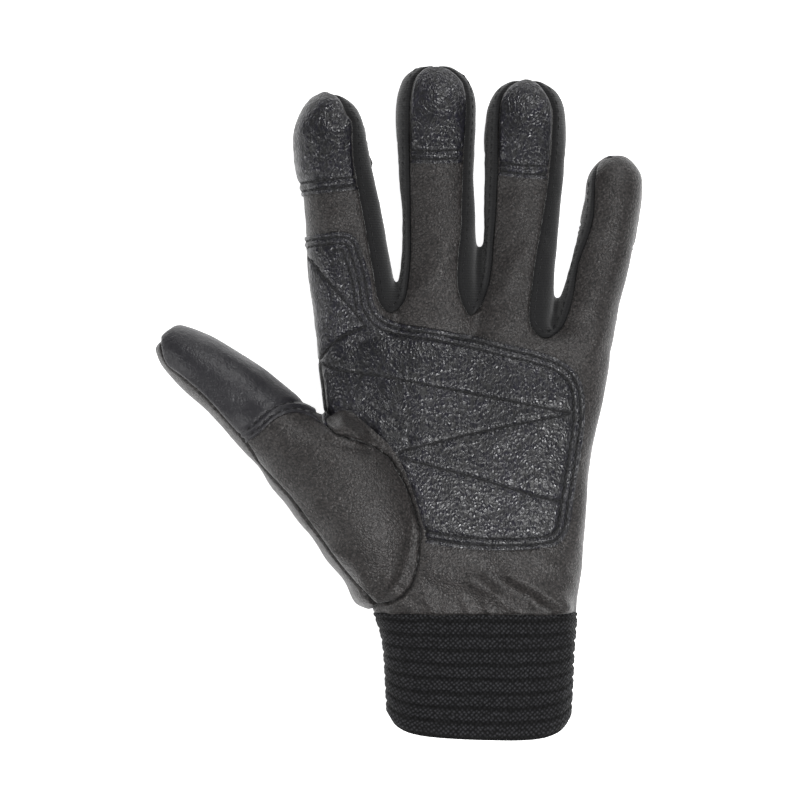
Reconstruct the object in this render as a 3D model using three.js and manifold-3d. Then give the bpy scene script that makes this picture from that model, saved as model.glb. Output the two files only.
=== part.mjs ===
// Left-hand work glove of synthetic leather, lying palm up.
// Millimetres, +Z up, fingers towards +Y, thumb towards -X.
import * as THREE from "three";
import { mergeVertices } from "three/addons/utils/BufferGeometryUtils.js";
import Module from "manifold-3d";

const wasm = await Module();
wasm.setup();

// Wall sizes. The base skin lies between -wall and 0, and sewn-on patches lie over it.
const wall = 1.8;
const seamGap = 0.3;
const patchOver = 0.3;
const patchThickness = 1.0;
const patchTop = patchOver + patchThickness;

// Heights. The back of the base skin lies at backLevel, so the fingertip caps under it rest on the floor.
const backLevel = patchTop;
const cuffLevel = 3;
const sideSeam = 8;
const reach = 60;

// The cuff starts at cuffTop and its ribs run round the wrist.
const cuffTop = -75.3;
const ribPitch = 5;
const ribHeight = 0.5;

// Shapes of a cross section: points round it outside and inside, roundness above and below its widest point,
// and how high that point sits.
const fingerShape = { points: 14, lining: 8, above: 2.2, below: 4.5, waist: 0.45 };
const thumbShape = { points: 14, lining: 10, above: 2.1, below: 2.4, waist: 0.45 };
const palmShape = { points: 24, lining: 16, above: 2.7, below: 4.5, waist: 0.42 };
const cuffShape = { ...palmShape, points: 18 };

// The thumb's own axis points away from the little finger by this angle from +Y.
const thumbAngle = Math.PI / 4;

// Rows of each tube, from the base to the tip: place along it, left and right edge, lowest and highest point.
const indexRows = [
  { at: 14, left: -27, right: 5.4, low: 4, high: 23 },
  { at: 30, left: -30.2, right: 3.6, low: backLevel, high: 25 },
  { at: 38, left: -31.2, right: -1.2, low: backLevel, high: 24.3 },
  { at: 53, left: -32.6, right: -5.2, low: backLevel, high: 23 },
  { at: 68, left: -34, right: -8.2, low: backLevel, high: 22.4 },
  { at: 88, left: -37, right: -12.2, low: backLevel, high: 22.4 },
  { at: 97, left: -36, right: -14.2, low: backLevel, high: 21.2 },
  { at: 103.2, left: -33.6, right: -17.6, low: backLevel + 1, high: 18.8 },
  { at: 107.2, left: -28.8, right: -22.2, low: backLevel + 4, high: 14.6 },
];
const middleRows = [
  { at: 14, left: -7, right: 33, low: 4, high: 24.5 },
  { at: 30, left: -5.4, right: 31.6, low: backLevel, high: 26 },
  { at: 39.6, left: -1.4, right: 27, low: backLevel, high: 24.6 },
  { at: 53, left: 0.2, right: 25.8, low: backLevel, high: 23.4 },
  { at: 74, left: -0.4, right: 24.8, low: backLevel, high: 22.8 },
  { at: 98, left: -2.2, right: 25.8, low: backLevel, high: 23 },
  { at: 107, left: -1.4, right: 25, low: backLevel, high: 21.8 },
  { at: 113.6, left: 0.8, right: 22.8, low: backLevel + 1.2, high: 18.4 },
  { at: 117.2, left: 6.4, right: 17.4, low: backLevel + 4, high: 14.4 },
];
const ringRows = [
  { at: 12, left: 20, right: 57, low: 4, high: 24.5 },
  { at: 26.4, left: 21.4, right: 53.6, low: backLevel, high: 26 },
  { at: 40, left: 26.8, right: 53, low: backLevel, high: 24.2 },
  { at: 53, left: 28, right: 53.6, low: backLevel, high: 23 },
  { at: 74, left: 29, right: 55.6, low: backLevel, high: 22.5 },
  { at: 94, left: 29.2, right: 57, low: backLevel, high: 22.8 },
  { at: 103, left: 30.8, right: 56.2, low: backLevel, high: 21.6 },
  { at: 108.4, left: 33.2, right: 54, low: backLevel + 1.2, high: 18.6 },
  { at: 112.1, left: 38.2, right: 49.4, low: backLevel + 4, high: 14.4 },
];
const littleRows = [
  { at: 8, left: 42, right: 71, low: 4, high: 22 },
  { at: 20, left: 47, right: 74.2, low: 2, high: 23 },
  { at: 27, left: 52.2, right: 75.6, low: backLevel, high: 22 },
  { at: 40, left: 57, right: 78.4, low: backLevel, high: 20.8 },
  { at: 56, left: 61.2, right: 82, low: backLevel, high: 20.4 },
  { at: 71, left: 64.4, right: 84.6, low: backLevel, high: 20.2 },
  { at: 78, left: 66, right: 84.8, low: backLevel + 0.2, high: 19 },
  { at: 83, left: 69, right: 82.2, low: backLevel + 1.6, high: 16.4 },
  { at: 86, left: 72.2, right: 79, low: backLevel + 4, high: 12.8 },
];
const thumbRows = [
  { at: -45.5, left: -57.5, right: -40, low: 8, high: 24 },
  { at: -41, left: -59.6, right: -30, low: 4.4, high: 30.5 },
  { at: -33, left: -60.6, right: -21.5, low: 3, high: 35 },
  { at: -18, left: -58, right: -14.6, low: 3, high: 38.2 },
  { at: 5.4, left: -54.4, right: -17.5, low: 3.6, high: 37.4 },
  { at: 15, left: -52.9, right: -23.4, low: 4.2, high: 35.2 },
  { at: 30, left: -51.8, right: -26.2, low: 5.2, high: 32.8 },
  { at: 46, left: -50.5, right: -28.4, low: 5.6, high: 31.6 },
  { at: 60, left: -50.4, right: -31.4, low: 6, high: 30.2 },
  { at: 68, left: -49.8, right: -34.4, low: 7.2, high: 28.2 },
  { at: 73.4, left: -47.4, right: -37.6, low: 10.4, high: 24.4 },
];
const palmRows = [
  { at: -126, left: -4.6, right: 58.6, low: cuffLevel, high: 29.4 },
  { at: -87, left: -6.8, right: 60.8, low: cuffLevel, high: 30 },
  { at: cuffTop, left: -9.4, right: 60.6, low: cuffLevel, high: 28 },
  { at: -71, left: -10.8, right: 61.4, low: 2.6, high: 28.6 },
  { at: -58, left: -13.6, right: 63.2, low: backLevel, high: 30.2 },
  { at: -42, left: -17.8, right: 64.6, low: backLevel, high: 31.6 },
  { at: -22, left: -22.8, right: 66.2, low: backLevel, high: 32 },
  { at: -4, left: -26.4, right: 70, low: backLevel, high: 30.8 },
  { at: 11, left: -28.2, right: 72.8, low: backLevel, high: 28.6 },
  { at: 20, left: -29, right: 73.6, low: backLevel + 0.4, high: 26 },
  { at: 24, left: -28, right: 71.5, low: backLevel + 3, high: 21 },
];

// Folds and dents of the upper side: a straight line from one point to the other, its height and half width.
const folds = [
  { x1: 28, y1: -8, x2: 36, y2: -34, height: -3, half: 20 },
  { x1: -22, y1: -10, x2: -16, y2: -12, height: 2.4, half: 4 },
  { x1: 10, y1: -58, x2: 29, y2: -65, height: 1.6, half: 4.5 },
  { x1: 35, y1: -53, x2: 58, y2: -73, height: 1.8, half: 4.5 },
  { x1: -36, y1: 73, x2: -8, y2: 71, height: -0.8, half: 4 },
  { x1: -2, y1: 79, x2: 26, y2: 79, height: -0.8, half: 4 },
  { x1: 28, y1: 74, x2: 57, y2: 74, height: -0.8, half: 4 },
  { x1: 58, y1: 55, x2: 84, y2: 50, height: -0.8, half: 4 },
  { x1: -60, y1: -8, x2: -42, y2: 9, height: -1, half: 5 },
];
const foldStart = 14;
const foldFull = 22;

// Seams on the palm side. Each U runs down one finger, round the crotch and up the next finger.
const indexMiddleSeam = [
  [-26, 124], [-26, 107.6], [-22, 106.3], [-19.8, 103], [-19, 100.4], [-17, 98], [-16.6, 90],
  [-15.8, 80], [-13, 64.6],
  [-11, 53], [-9, 42], [-7.4, 34.2], [-3.8, 30.6], [0.2, 34.2], [2.2, 45.4], [2.6, 53], [2.2, 82.6],
  [2.2, 101], [2.8, 107.8], [4.6, 113.4], [8.2, 116.6], [12, 117.2], [12, 124],
];
const middleRingSeam = [
  [12, 124], [12, 117.2], [16.1, 116.4], [19.4, 114], [22, 110.8], [23.2, 104.6], [22.2, 82.6],
  [21.4, 61], [20.2, 38.2],
  [24.6, 29.6], [29.4, 38.2], [32, 61], [33, 78.2], [33.6, 100.6], [34.4, 105.4], [37.2, 109.8],
  [40.4, 111.8],
  [44, 112.4], [44, 124],
];
const ringLittleSeam = [
  [44, 124], [44, 112.4], [47.8, 111.2], [51, 107.6], [53, 102.6], [53.4, 97.8], [51.8, 76.6],
  [49.4, 61], [46.2, 41.8],
  [45.4, 25.8], [50.2, 21.8], [55, 24.6], [58.6, 33], [61.4, 47.4], [66.2, 62.2], [67.4, 77], [68.4, 81.6],
  [71, 84.8], [74.8, 86], [74.8, 95],
];

// The seam that sets the thumb into the palm, from the web of the thumb to the wrist.
const thumbSetIn = [
  [-27, -7.4], [-23, -11.6], [-18.2, -13.8], [-8.6, -17], [-4.6, -19.6], [-0.8, -25.4], [1.2, -29],
  [3.4, -34.6],
  [5.4, -41.8], [6.6, -46.2], [6, -51.4], [5.4, -56.6], [2.6, -65.8], [-2.2, -70], [-8, -71.8],
  [-12, cuffTop],
];
// Outside of the thumb, clear of it.
const thumbSurround = [[-40, cuffTop], [-100, -60], [-100, 40], [-60, 40], [-27, -2]];
// The long seam on the outer side of the thumb, from the tip to the wrist.
const thumbLongSeam = [
  [-82, 34], [-84.2, 20.6], [-82.6, 11.4], [-77, 6.2], [-70.2, 0.2], [-62.2, -8.2], [-54.6, -16.2],
  [-49.8, -23], [-39.4, -33.8], [-31, -45], [-19.8, -59.8], [-9, -71.8],
];
const thumbFrontLevel = 18;
// On the back the thumb ends along the side of the hand.
const thumbBackLine = [[-26, -4], [-24, -14], [-20, -32], [-14, -56], [-9, cuffTop]];

// Patches on the palm side.
const indexTipPatch = [
  [-42, 99.6], [-35.6, 99.8], [-33, 103.6], [-29.8, 106.3], [-26, 107.3], [-22.4, 106],
  [-20.3, 102.8], [-19.6, 100],
  [-17.6, 97.6], [-17.2, 90], [-16.4, 80], [-14.8, 73.4], [-26, 72.2], [-42, 71],
];
const middleTipPatch = [
  [2.8, 82.6], [2.8, 101], [3.4, 107.6], [5.1, 113], [8.5, 116.1], [12, 116.7], [15.9, 115.9], [19, 113.6],
  [21.5, 110.5], [22.6, 104.4], [21.7, 82.8],
];
const ringTipPatch = [
  [33.6, 78.4], [34.2, 100.6], [35, 105.2], [37.7, 109.4], [40.6, 111.3], [44, 111.9], [47.5, 110.8],
  [50.5, 107.3],
  [52.4, 102.5], [52.8, 97.8], [51.3, 77],
];
const palmPatch = [
  [-40, 56.2], [-18.2, 58.2], [-16.4, 57], [-13.4, 49.4], [-11, 41], [-9.8, 33.4], [-7, 29], [-1.8, 27],
  [6.6, 25.2], [11, 23.4], [19, 22.6], [33.8, 20.4], [49.4, 17.4], [56.2, 14.2], [60.6, 9.8], [63.4, 4.2],
  [63.4, -7.8], [61.8, -19.4], [57, -48.2], [47.8, -51.8], [33.8, -52.4], [18.6, -51.4], [7.6, -49.6],
  [7.4, -46], [6.2, -41.6], [4.2, -34.4], [2, -28.8], [0, -25], [-4, -19], [-8.2, -16.2], [-18, -13],
  [-22.4, -10.8], [-26.6, -7], [-29.6, -2], [-36, 14], [-40, 20],
];
// Cap on the ball of the thumb.
const thumbCapEdge = [
  [-54.6, -15.4], [-49.8, -12.2], [-43.4, -6.6], [-37.8, -4.6], [-33.4, -5.4], [-27.8, -8.6],
];
const thumbCapSurround = [[-30.2, -3], [-37, 13], [-60, 46], [-96, 40], [-96, 2]];
const thumbCapLevel = 12;

// Fingertip caps on the back, and the leather that runs along the side of the index finger.
const middleBackCap = [[-10, 87], [2, 87], [22, 88], [27.6, 88], [27.6, 126], [-10, 126]];
const ringBackCap = [[27.8, 83], [34, 83.4], [54, 81.8], [62, 81.8], [62, 124], [27.8, 124]];
const littleBackCap = [[58, 61], [64, 57.8], [79, 51.4], [96, 46], [96, 96], [58, 96]];
const sidePanel = [
  [-50, 118], [-11, 118], [-11, 82], [-13.8, 79.8], [-21.4, 73.4], [-26.2, 67], [-28.4, 59.4],
  [-28.8, 49.8],
  [-27.4, 34], [-25.8, 14], [-24.4, 0], [-25.6, -3.6], [-50, -3],
];

// Seams across the back: the knuckle panel lies between them.
const knuckleTop = [[-60, 15], [-24.6, 14.2], [-2.2, 15.4], [27, 13], [54.6, 9], [71.8, 5], [96, 0]];
const knuckleBottom = [[-60, -16], [-23.4, -18.6], [7.4, -21.4], [39, -25.8], [61.4, -30.2], [96, -36]];
// The red cord in the lower of the two seams.
const cordWidth = 2;
const cordProud = 0.9;

// Closure tab on the back of the cuff, bound along its edge.
const strapOutline = [
  [74, -82], [63.4, -81.8], [44, -83.4], [26.4, -85.8], [16, -90.4], [11, -97.2], [10, -104.6],
  [12.6, -111.4],
  [17.6, -116.2], [24.8, -118.6], [43, -116.8], [62.8, -114.6], [74, -113.4],
];
const bindingWidth = 4.3;
const strapUnder = 1.0;
const strapThickness = 1.2;
const badgeMargin = 1.2;
const badgeThickness = 0.6;
const strapLevel = 12;

// Rim of the cuff, convex as it lies.
const cuffRim = [
  [-30, cuffTop - 0.2], [-30, -108], [-4.6, -111.4], [-1, -114.4], [3.4, -116.6], [13.4, -118.2],
  [30, -119],
  [46, -118.2], [56, -116.6], [60.4, -113], [80, -110], [80, cuffTop - 0.2],
];

// Turns a geometry into a solid that can be joined and cut.
function solid(geometry) {
  const bare = geometry.clone();
  bare.deleteAttribute("normal");
  bare.deleteAttribute("uv");
  const merged = mergeVertices(bare, 1e-4);
  return new wasm.Manifold(
    new wasm.Mesh({
      numProp: 3,
      vertProperties: new Float32Array(merged.attributes.position.array),
      triVerts: new Uint32Array(merged.index.array),
    }),
  );
}

// Signed power, for rounded box sections.
function power(value, exponent) {
  return Math.sign(value) * Math.abs(value) ** exponent;
}

// One ring of a tube: a section that is rounder above its waist than below it.
function sectionRing(row, shape, grow, angle) {
  const count = grow < 0 ? shape.lining : shape.points;
  const low = row.low - grow;
  const high = row.high + grow;
  const waist = low + (high - low) * shape.waist;
  const middle = (row.left + row.right) / 2;
  const half = (row.right - row.left) / 2 + grow;
  const ring = [];
  for (let i = 0; i < count; i += 1) {
    const turn = (2 * Math.PI * (i + 0.5)) / count;
    const round = Math.sin(turn) >= 0 ? shape.above : shape.below;
    const side = middle + half * power(Math.cos(turn), 2 / round);
    const rise = power(Math.sin(turn), 2 / round);
    const z = waist + rise * (rise >= 0 ? high - waist : waist - low);
    const x = side * Math.cos(angle) - row.at * Math.sin(angle);
    const y = side * Math.sin(angle) + row.at * Math.cos(angle);
    ring.push([x, y, z]);
  }
  return ring;
}

// A closed tube through its rows. The tip row moves out with the skin.
function tube(rows, shape, grow, angle = 0) {
  const rings = rows.map((row, i) => {
    const last = i === rows.length - 1;
    return sectionRing({ ...row, at: row.at + (last ? grow : 0) }, shape, grow, angle);
  });
  const count = rings[0].length;
  const points = rings.flat();
  const faces = [];
  for (let r = 0; r < rings.length - 1; r += 1) {
    for (let i = 0; i < count; i += 1) {
      const a = r * count + i;
      const b = r * count + ((i + 1) % count);
      faces.push(a, a + count, b, b, a + count, b + count);
    }
  }
  for (const [start, forward] of [[0, true], [(rings.length - 1) * count, false]]) {
    const ring = points.slice(start, start + count);
    const centre = [0, 1, 2].map((k) => ring.reduce((sum, p) => sum + p[k], 0) / count);
    points.push(centre);
    const c = points.length - 1;
    for (let i = 0; i < count; i += 1) {
      const a = start + i;
      const b = start + ((i + 1) % count);
      faces.push(...(forward ? [c, a, b] : [c, b, a]));
    }
  }
  const geometry = new THREE.BufferGeometry();
  geometry.setAttribute("position", new THREE.Float32BufferAttribute(points.flat(), 3));
  geometry.setIndex(faces);
  return solid(geometry);
}

// How far a point of the upper side is lifted by the folds.
function foldLift(x, y, z) {
  const weight = Math.min(Math.max((z - foldStart) / (foldFull - foldStart), 0), 1);
  let lift = 0;
  for (const fold of folds) {
    const dx = fold.x2 - fold.x1;
    const dy = fold.y2 - fold.y1;
    const along = ((x - fold.x1) * dx + (y - fold.y1) * dy) / (dx * dx + dy * dy);
    const t = Math.min(Math.max(along, 0), 1);
    const away = Math.hypot(x - fold.x1 - t * dx, y - fold.y1 - t * dy);
    lift += fold.height * Math.exp(-((away / fold.half) ** 2));
  }
  return lift * weight;
}

// The whole hand form, grown outwards by the given distance.
function hand(grow) {
  const joined = tube(palmRows, palmShape, grow)
    .add(tube(indexRows, fingerShape, grow))
    .add(tube(middleRows, fingerShape, grow))
    .add(tube(ringRows, fingerShape, grow))
    .add(tube(littleRows, fingerShape, grow))
    .add(tube(thumbRows, thumbShape, grow, thumbAngle));
  const mesh = joined.getMesh();
  const positions = new Float32Array(mesh.vertProperties);
  for (let i = 0; i < positions.length; i += mesh.numProp) {
    positions[i + 2] += foldLift(positions[i], positions[i + 1], positions[i + 2]);
  }
  const folded = new wasm.Mesh({ numProp: mesh.numProp, vertProperties: positions, triVerts: mesh.triVerts });
  return new wasm.Manifold(folded);
}

// Moves each side of a closed outline outwards by the given distance, or inwards where it is negative.
function offset(outline, distance) {
  const turn = Math.sign(THREE.ShapeUtils.area(outline.map(([x, y]) => new THREE.Vector2(x, y))));
  return outline.map((point, i) => {
    const before = new THREE.Vector2(...outline[(i + outline.length - 1) % outline.length]);
    const here = new THREE.Vector2(...point);
    const after = new THREE.Vector2(...outline[(i + 1) % outline.length]);
    const first = here.clone().sub(before).normalize();
    const second = after.clone().sub(here).normalize();
    const mitre = first.add(second).normalize();
    const outward = new THREE.Vector2(mitre.y, -mitre.x).multiplyScalar(turn);
    const sideNormal = new THREE.Vector2(second.y, -second.x).multiplyScalar(turn);
    const stretch = 1 / Math.max(outward.dot(sideNormal), 0.5);
    return [here.x + outward.x * distance * stretch, here.y + outward.y * distance * stretch];
  });
}

// An upright block with the given outline.
function prism(outline, low, high) {
  const shape = new THREE.Shape(outline.map(([x, y]) => new THREE.Vector2(x, y)));
  const geometry = new THREE.ExtrudeGeometry(shape, { depth: high - low, bevelEnabled: false });
  geometry.translate(0, 0, low);
  return solid(geometry);
}

// The closed outline of a strip that follows a line.
function strip(line, width) {
  const sides = [[], []];
  line.forEach((point, i) => {
    const before = line[Math.max(i - 1, 0)];
    const after = line[Math.min(i + 1, line.length - 1)];
    const along = new THREE.Vector2(after[0] - before[0], after[1] - before[1]).normalize();
    sides[0].push([point[0] - (along.y * width) / 2, point[1] + (along.x * width) / 2]);
    sides[1].unshift([point[0] + (along.y * width) / 2, point[1] - (along.x * width) / 2]);
  });
  return [...sides[0], ...sides[1]];
}

// The largest body of a cut solid. Slivers left along a seam are dropped.
function largest(cut) {
  return cut.decompose().reduce((best, body) => (body.volume() > best.volume() ? body : best));
}

// Skins: the base skin of the glove, and the layer of the sewn-on patches.
const inside = hand(-wall);
const outside = hand(0);
const skin = outside.subtract(inside);
const patchSkin = hand(patchTop).subtract(hand(patchOver));

const wide = [[-130, -140], [130, -140], [130, 140], [-130, 140]];
const above = prism(wide, sideSeam + seamGap / 2, reach);
const below = prism(wide, -reach, sideSeam - seamGap / 2);
const cuffZone = prism([[-130, -140], [130, -140], [130, cuffTop], [-130, cuffTop]], -reach, reach);
const halfGap = seamGap / 2;

const thumbRegion = [...thumbSetIn, ...thumbSurround];
const thumbFrontRegion = [...thumbSetIn.slice(0, -1), ...[...thumbLongSeam].reverse(), [-60, 40], [-27, -2]];
const thumbUnderRegion = [...thumbBackLine, ...thumbSurround];
const upperSkin = skin.intersect(above).subtract(cuffZone);
const lowerSkin = skin.intersect(below).subtract(cuffZone);
const thumbBlock = (grow) => prism(offset(thumbRegion, grow), sideSeam - 1, reach);
const fourchetteBlock = (seam, grow) => prism(offset(seam, grow), sideSeam - 1, reach);
const fourchetteSeams = [indexMiddleSeam, middleRingSeam, ringLittleSeam];

// Palm side of the hand and fingers.
let palmPanel = upperSkin.subtract(thumbBlock(halfGap));
for (const seam of fourchetteSeams) {
  palmPanel = palmPanel.subtract(fourchetteBlock(seam, halfGap));
}
const fourchettes = fourchetteSeams.map((seam) => upperSkin.intersect(fourchetteBlock(seam, -halfGap)));

// The thumb: its front over the ball, and its back round the outer side and underneath.
const thumbFrontPrism = prism(offset(thumbFrontRegion, -halfGap), thumbFrontLevel + halfGap, reach);
const thumbFront = upperSkin.intersect(thumbFrontPrism);
const thumbBack = skin
  .subtract(cuffZone)
  .intersect(
    thumbBlock(-halfGap)
      .intersect(above)
      .add(prism(offset(thumbUnderRegion, -halfGap), -reach, sideSeam + seamGap)),
  )
  .subtract(prism(offset(thumbFrontRegion, halfGap), thumbFrontLevel - halfGap, reach));

// The back of the hand, in three panels.
const northEdge = [[130, 140], [-130, 140]];
const southEdge = [[130, cuffTop - 2], [-130, cuffTop - 2]];
const underThumb = prism(offset(thumbUnderRegion, halfGap), -reach, reach);
const backSkin = lowerSkin.subtract(underThumb);
const upperBack = backSkin.intersect(prism(offset([...knuckleTop, ...northEdge], -halfGap), -reach, reach));
const cordClearance = cordWidth / 2 + seamGap;
const knucklePanel = backSkin
  .intersect(prism(offset([...knuckleTop, ...[...knuckleBottom].reverse()], -halfGap), -reach, reach))
  .subtract(prism(strip(knuckleBottom, 2 * cordClearance), -reach, reach));
const lowerBack = backSkin
  .intersect(prism([...knuckleBottom, ...southEdge], -reach, reach))
  .subtract(prism(strip(knuckleBottom, 2 * cordClearance), -reach, reach));

// The red cord follows the skin.
const piping = hand(cordProud)
  .subtract(hand(cordProud - cordWidth))
  .intersect(prism(strip(knuckleBottom, cordWidth), -reach, reach))
  .intersect(below.subtract(underThumb));

// Sewn-on patches of the palm side.
const patchZone = patchSkin.intersect(above);
const palmCover = patchZone.intersect(prism(palmPatch, sideSeam + 1, reach));
const tipPatch = (outline) => patchZone.intersect(prism(outline, sideSeam + 1, reach));
const thumbCap = patchZone.intersect(prism([...thumbCapEdge, ...thumbCapSurround], thumbCapLevel, reach));

// Leather pieces of the back.
const backPatch = (outline) => patchSkin.intersect(below).intersect(prism(outline, -reach, reach));

// The cuff: ribs that run round the wrist, with a smooth lining. They start past the rim and are cut along it.
const ribsEnd = palmRows[0].at;
const ribRows = [];
for (let y = cuffTop + 2 * ribPitch; y > ribsEnd; y -= ribPitch / 2) {
  const upper = palmRows.find((row) => row.at >= y);
  const lower = palmRows[palmRows.indexOf(upper) - 1];
  const t = (y - lower.at) / (upper.at - lower.at);
  const mix = (key) => lower[key] + t * (upper[key] - lower[key]);
  const swell = ribRows.length % 2 ? ribHeight : -ribHeight;
  ribRows.unshift({
    at: y,
    left: mix("left") - swell,
    right: mix("right") + swell,
    low: mix("low") - swell,
    high: mix("high") + swell,
  });
}
const cuff = tube(ribRows, cuffShape, 0).subtract(inside).intersect(prism(cuffRim, -reach, reach));

// The closure tab, its bound edge and the badge on it.
const strapZone = (from, to) => hand(to).subtract(hand(from)).intersect(prism(wide, -reach, strapLevel));
const strapInner = offset(strapOutline, -bindingWidth);
const strapPrism = prism(offset(strapInner, -halfGap), -reach, reach);
const strap = strapZone(strapUnder, strapUnder + strapThickness).intersect(strapPrism);
const binding = strapZone(strapUnder - 0.1, strapUnder + strapThickness + 0.1)
  .intersect(prism(strapOutline, -reach, reach))
  .subtract(prism(offset(strapInner, halfGap), -reach, reach));
const badgeBase = strapUnder + strapThickness + 0.2;
const badge = strapZone(badgeBase, badgeBase + badgeThickness)
  .intersect(prism(offset(strapInner, -badgeMargin), -reach, reach))
  .intersect(prism(wide, -reach, cuffLevel + 1));

// Adds one finished piece with its own material.
const glove = new THREE.Group();
glove.name = "work_glove";
function add(name, cut, color, roughness) {
  const mesh = largest(cut).getMesh();
  const geometry = new THREE.BufferGeometry();
  geometry.setAttribute("position", new THREE.BufferAttribute(new Float32Array(mesh.vertProperties), 3));
  geometry.setIndex(new THREE.BufferAttribute(new Uint32Array(mesh.triVerts), 1));
  const material = new THREE.MeshStandardMaterial({ color, roughness, metalness: 0 });
  material.name = name;
  const piece = new THREE.Mesh(geometry, material);
  piece.name = name;
  glove.add(piece);
}

add("palm_panel", palmPanel, "#4b4947", 0.7);
add("fourchette_index_middle", fourchettes[0], "#1f1f20", 0.9);
add("fourchette_middle_ring", fourchettes[1], "#1f1f20", 0.9);
add("fourchette_ring_little", fourchettes[2], "#1f1f20", 0.9);
add("thumb_front", thumbFront, "#4b4947", 0.7);
add("thumb_back", thumbBack, "#4b4947", 0.7);
add("back_upper", upperBack, "#232324", 0.95);
add("knuckle_panel", knucklePanel, "#2a2a2c", 0.9);
add("back_lower", lowerBack, "#232324", 0.95);
add("piping", piping, "#d23238", 0.6);
add("palm_patch", palmCover, "#26272a", 0.35);
add("tip_patch_index", tipPatch(indexTipPatch), "#26272a", 0.35);
add("tip_patch_middle", tipPatch(middleTipPatch), "#26272a", 0.35);
add("tip_patch_ring", tipPatch(ringTipPatch), "#26272a", 0.35);
add("thumb_cap", thumbCap, "#363537", 0.55);
add("side_panel", backPatch(sidePanel), "#4b4947", 0.7);
add("back_cap_middle", backPatch(middleBackCap), "#4b4947", 0.7);
add("back_cap_ring", backPatch(ringBackCap), "#4b4947", 0.7);
add("back_cap_little", backPatch(littleBackCap), "#4b4947", 0.7);
add("cuff", cuff, "#1e1e20", 0.95);
add("wrist_strap", strap, "#3a3836", 0.8);
add("strap_binding", binding, "#2f2d2c", 0.8);
add("strap_badge", badge, "#737878", 0.5);

// The origin is the centre of the outline, on the surface that the glove rests on.
const box = new THREE.Box3().setFromObject(glove);
glove.position.set(-(box.min.x + box.max.x) / 2, -(box.min.y + box.max.y) / 2, -box.min.z);

export default glove;
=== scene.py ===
import math

import bpy
import numpy as np
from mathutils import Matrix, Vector, noise
from mathutils.bvhtree import BVHTree
from mathutils.kdtree import KDTree


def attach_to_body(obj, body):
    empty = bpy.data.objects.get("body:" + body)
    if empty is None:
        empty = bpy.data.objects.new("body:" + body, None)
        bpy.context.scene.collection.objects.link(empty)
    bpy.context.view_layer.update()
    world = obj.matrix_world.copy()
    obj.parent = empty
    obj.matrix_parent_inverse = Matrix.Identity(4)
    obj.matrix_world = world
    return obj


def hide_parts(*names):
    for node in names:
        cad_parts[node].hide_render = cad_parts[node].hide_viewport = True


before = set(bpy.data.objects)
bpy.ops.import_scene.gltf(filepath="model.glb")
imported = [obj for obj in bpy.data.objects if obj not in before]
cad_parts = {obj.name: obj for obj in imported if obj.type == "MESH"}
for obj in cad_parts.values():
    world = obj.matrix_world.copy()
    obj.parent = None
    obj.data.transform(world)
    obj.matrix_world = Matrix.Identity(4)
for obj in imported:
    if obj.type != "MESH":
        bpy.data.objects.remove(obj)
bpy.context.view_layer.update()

METRE = 1000.0  # millimetres in one


def linear(hex_colour):
    """An sRGB hex colour as linear red, green, blue and alpha."""
    parts = [int(hex_colour[k:k + 2], 16) / 255 for k in (1, 3, 5)]
    return tuple(c / 12.92 if c <= 0.04045 else ((c + 0.055) / 1.055) ** 2.4 for c in parts) + (1.0,)


def new_material(name):
    """An empty material and its surface shader."""
    material = bpy.data.materials.new(name)
    material.use_nodes = True
    return material, material.node_tree.nodes["Principled BSDF"]


def fill(made, inputs):
    """Gives a node its inputs. Each is a value, a socket, or a node whose first output is linked."""
    for key, value in inputs.items():
        if isinstance(value, bpy.types.Node):
            value = value.outputs[0]
        if isinstance(value, bpy.types.NodeSocket):
            made.id_data.links.new(value, made.inputs[key])
        else:
            made.inputs[key].default_value = value


def node(material, kind, settings, inputs):
    """Adds one node to a material, with its settings, values and links. A ramp is given by its stops."""
    made = material.node_tree.nodes.new("ShaderNode" + kind)
    for key, value in settings.items():
        if key == "ramp":
            for stop, (position, colour) in zip(made.color_ramp.elements, value):
                stop.position = position
                stop.color = linear(colour)
        else:
            setattr(made, key, value)
    fill(made, inputs)
    return made


view_width = 0.284
view_distance = 1.3
camera_data = bpy.data.cameras.new("camera")
camera_data.sensor_width = 36
camera_data.lens = camera_data.sensor_width * view_distance / view_width
camera = bpy.data.objects.new("camera", camera_data)
camera.location = (0, 0, view_distance)
bpy.context.collection.objects.link(camera)
bpy.context.scene.camera = camera
bpy.context.scene.view_settings.view_transform = "Standard"

softboxes = [
    {"name": "softbox_top", "place": (0.4, 1.1, 1.15), "size": 0.45, "watts": 13},
    {"name": "softbox_left", "place": (-1.3, -0.3, 0.9), "size": 0.5, "watts": 8},
    {"name": "softbox_near", "place": (0.17, -0.21, 0.5), "size": 0.15, "watts": 2.3},
]
for box in softboxes:
    light = bpy.data.lights.new(box["name"], "AREA")
    light.size = box["size"]
    light.energy = box["watts"]
    lamp = bpy.data.objects.new(box["name"], light)
    lamp.location = box["place"]
    lamp.rotation_euler = (-Vector(box["place"])).to_track_quat("-Z", "Y").to_euler()
    bpy.context.collection.objects.link(lamp)

world = bpy.data.worlds.new("studio")
world.use_nodes = True
fill(world.node_tree.nodes["Background"], {"Color": linear("#f4f6fa"), "Strength": 0.1})
bpy.context.scene.world = world

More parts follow.
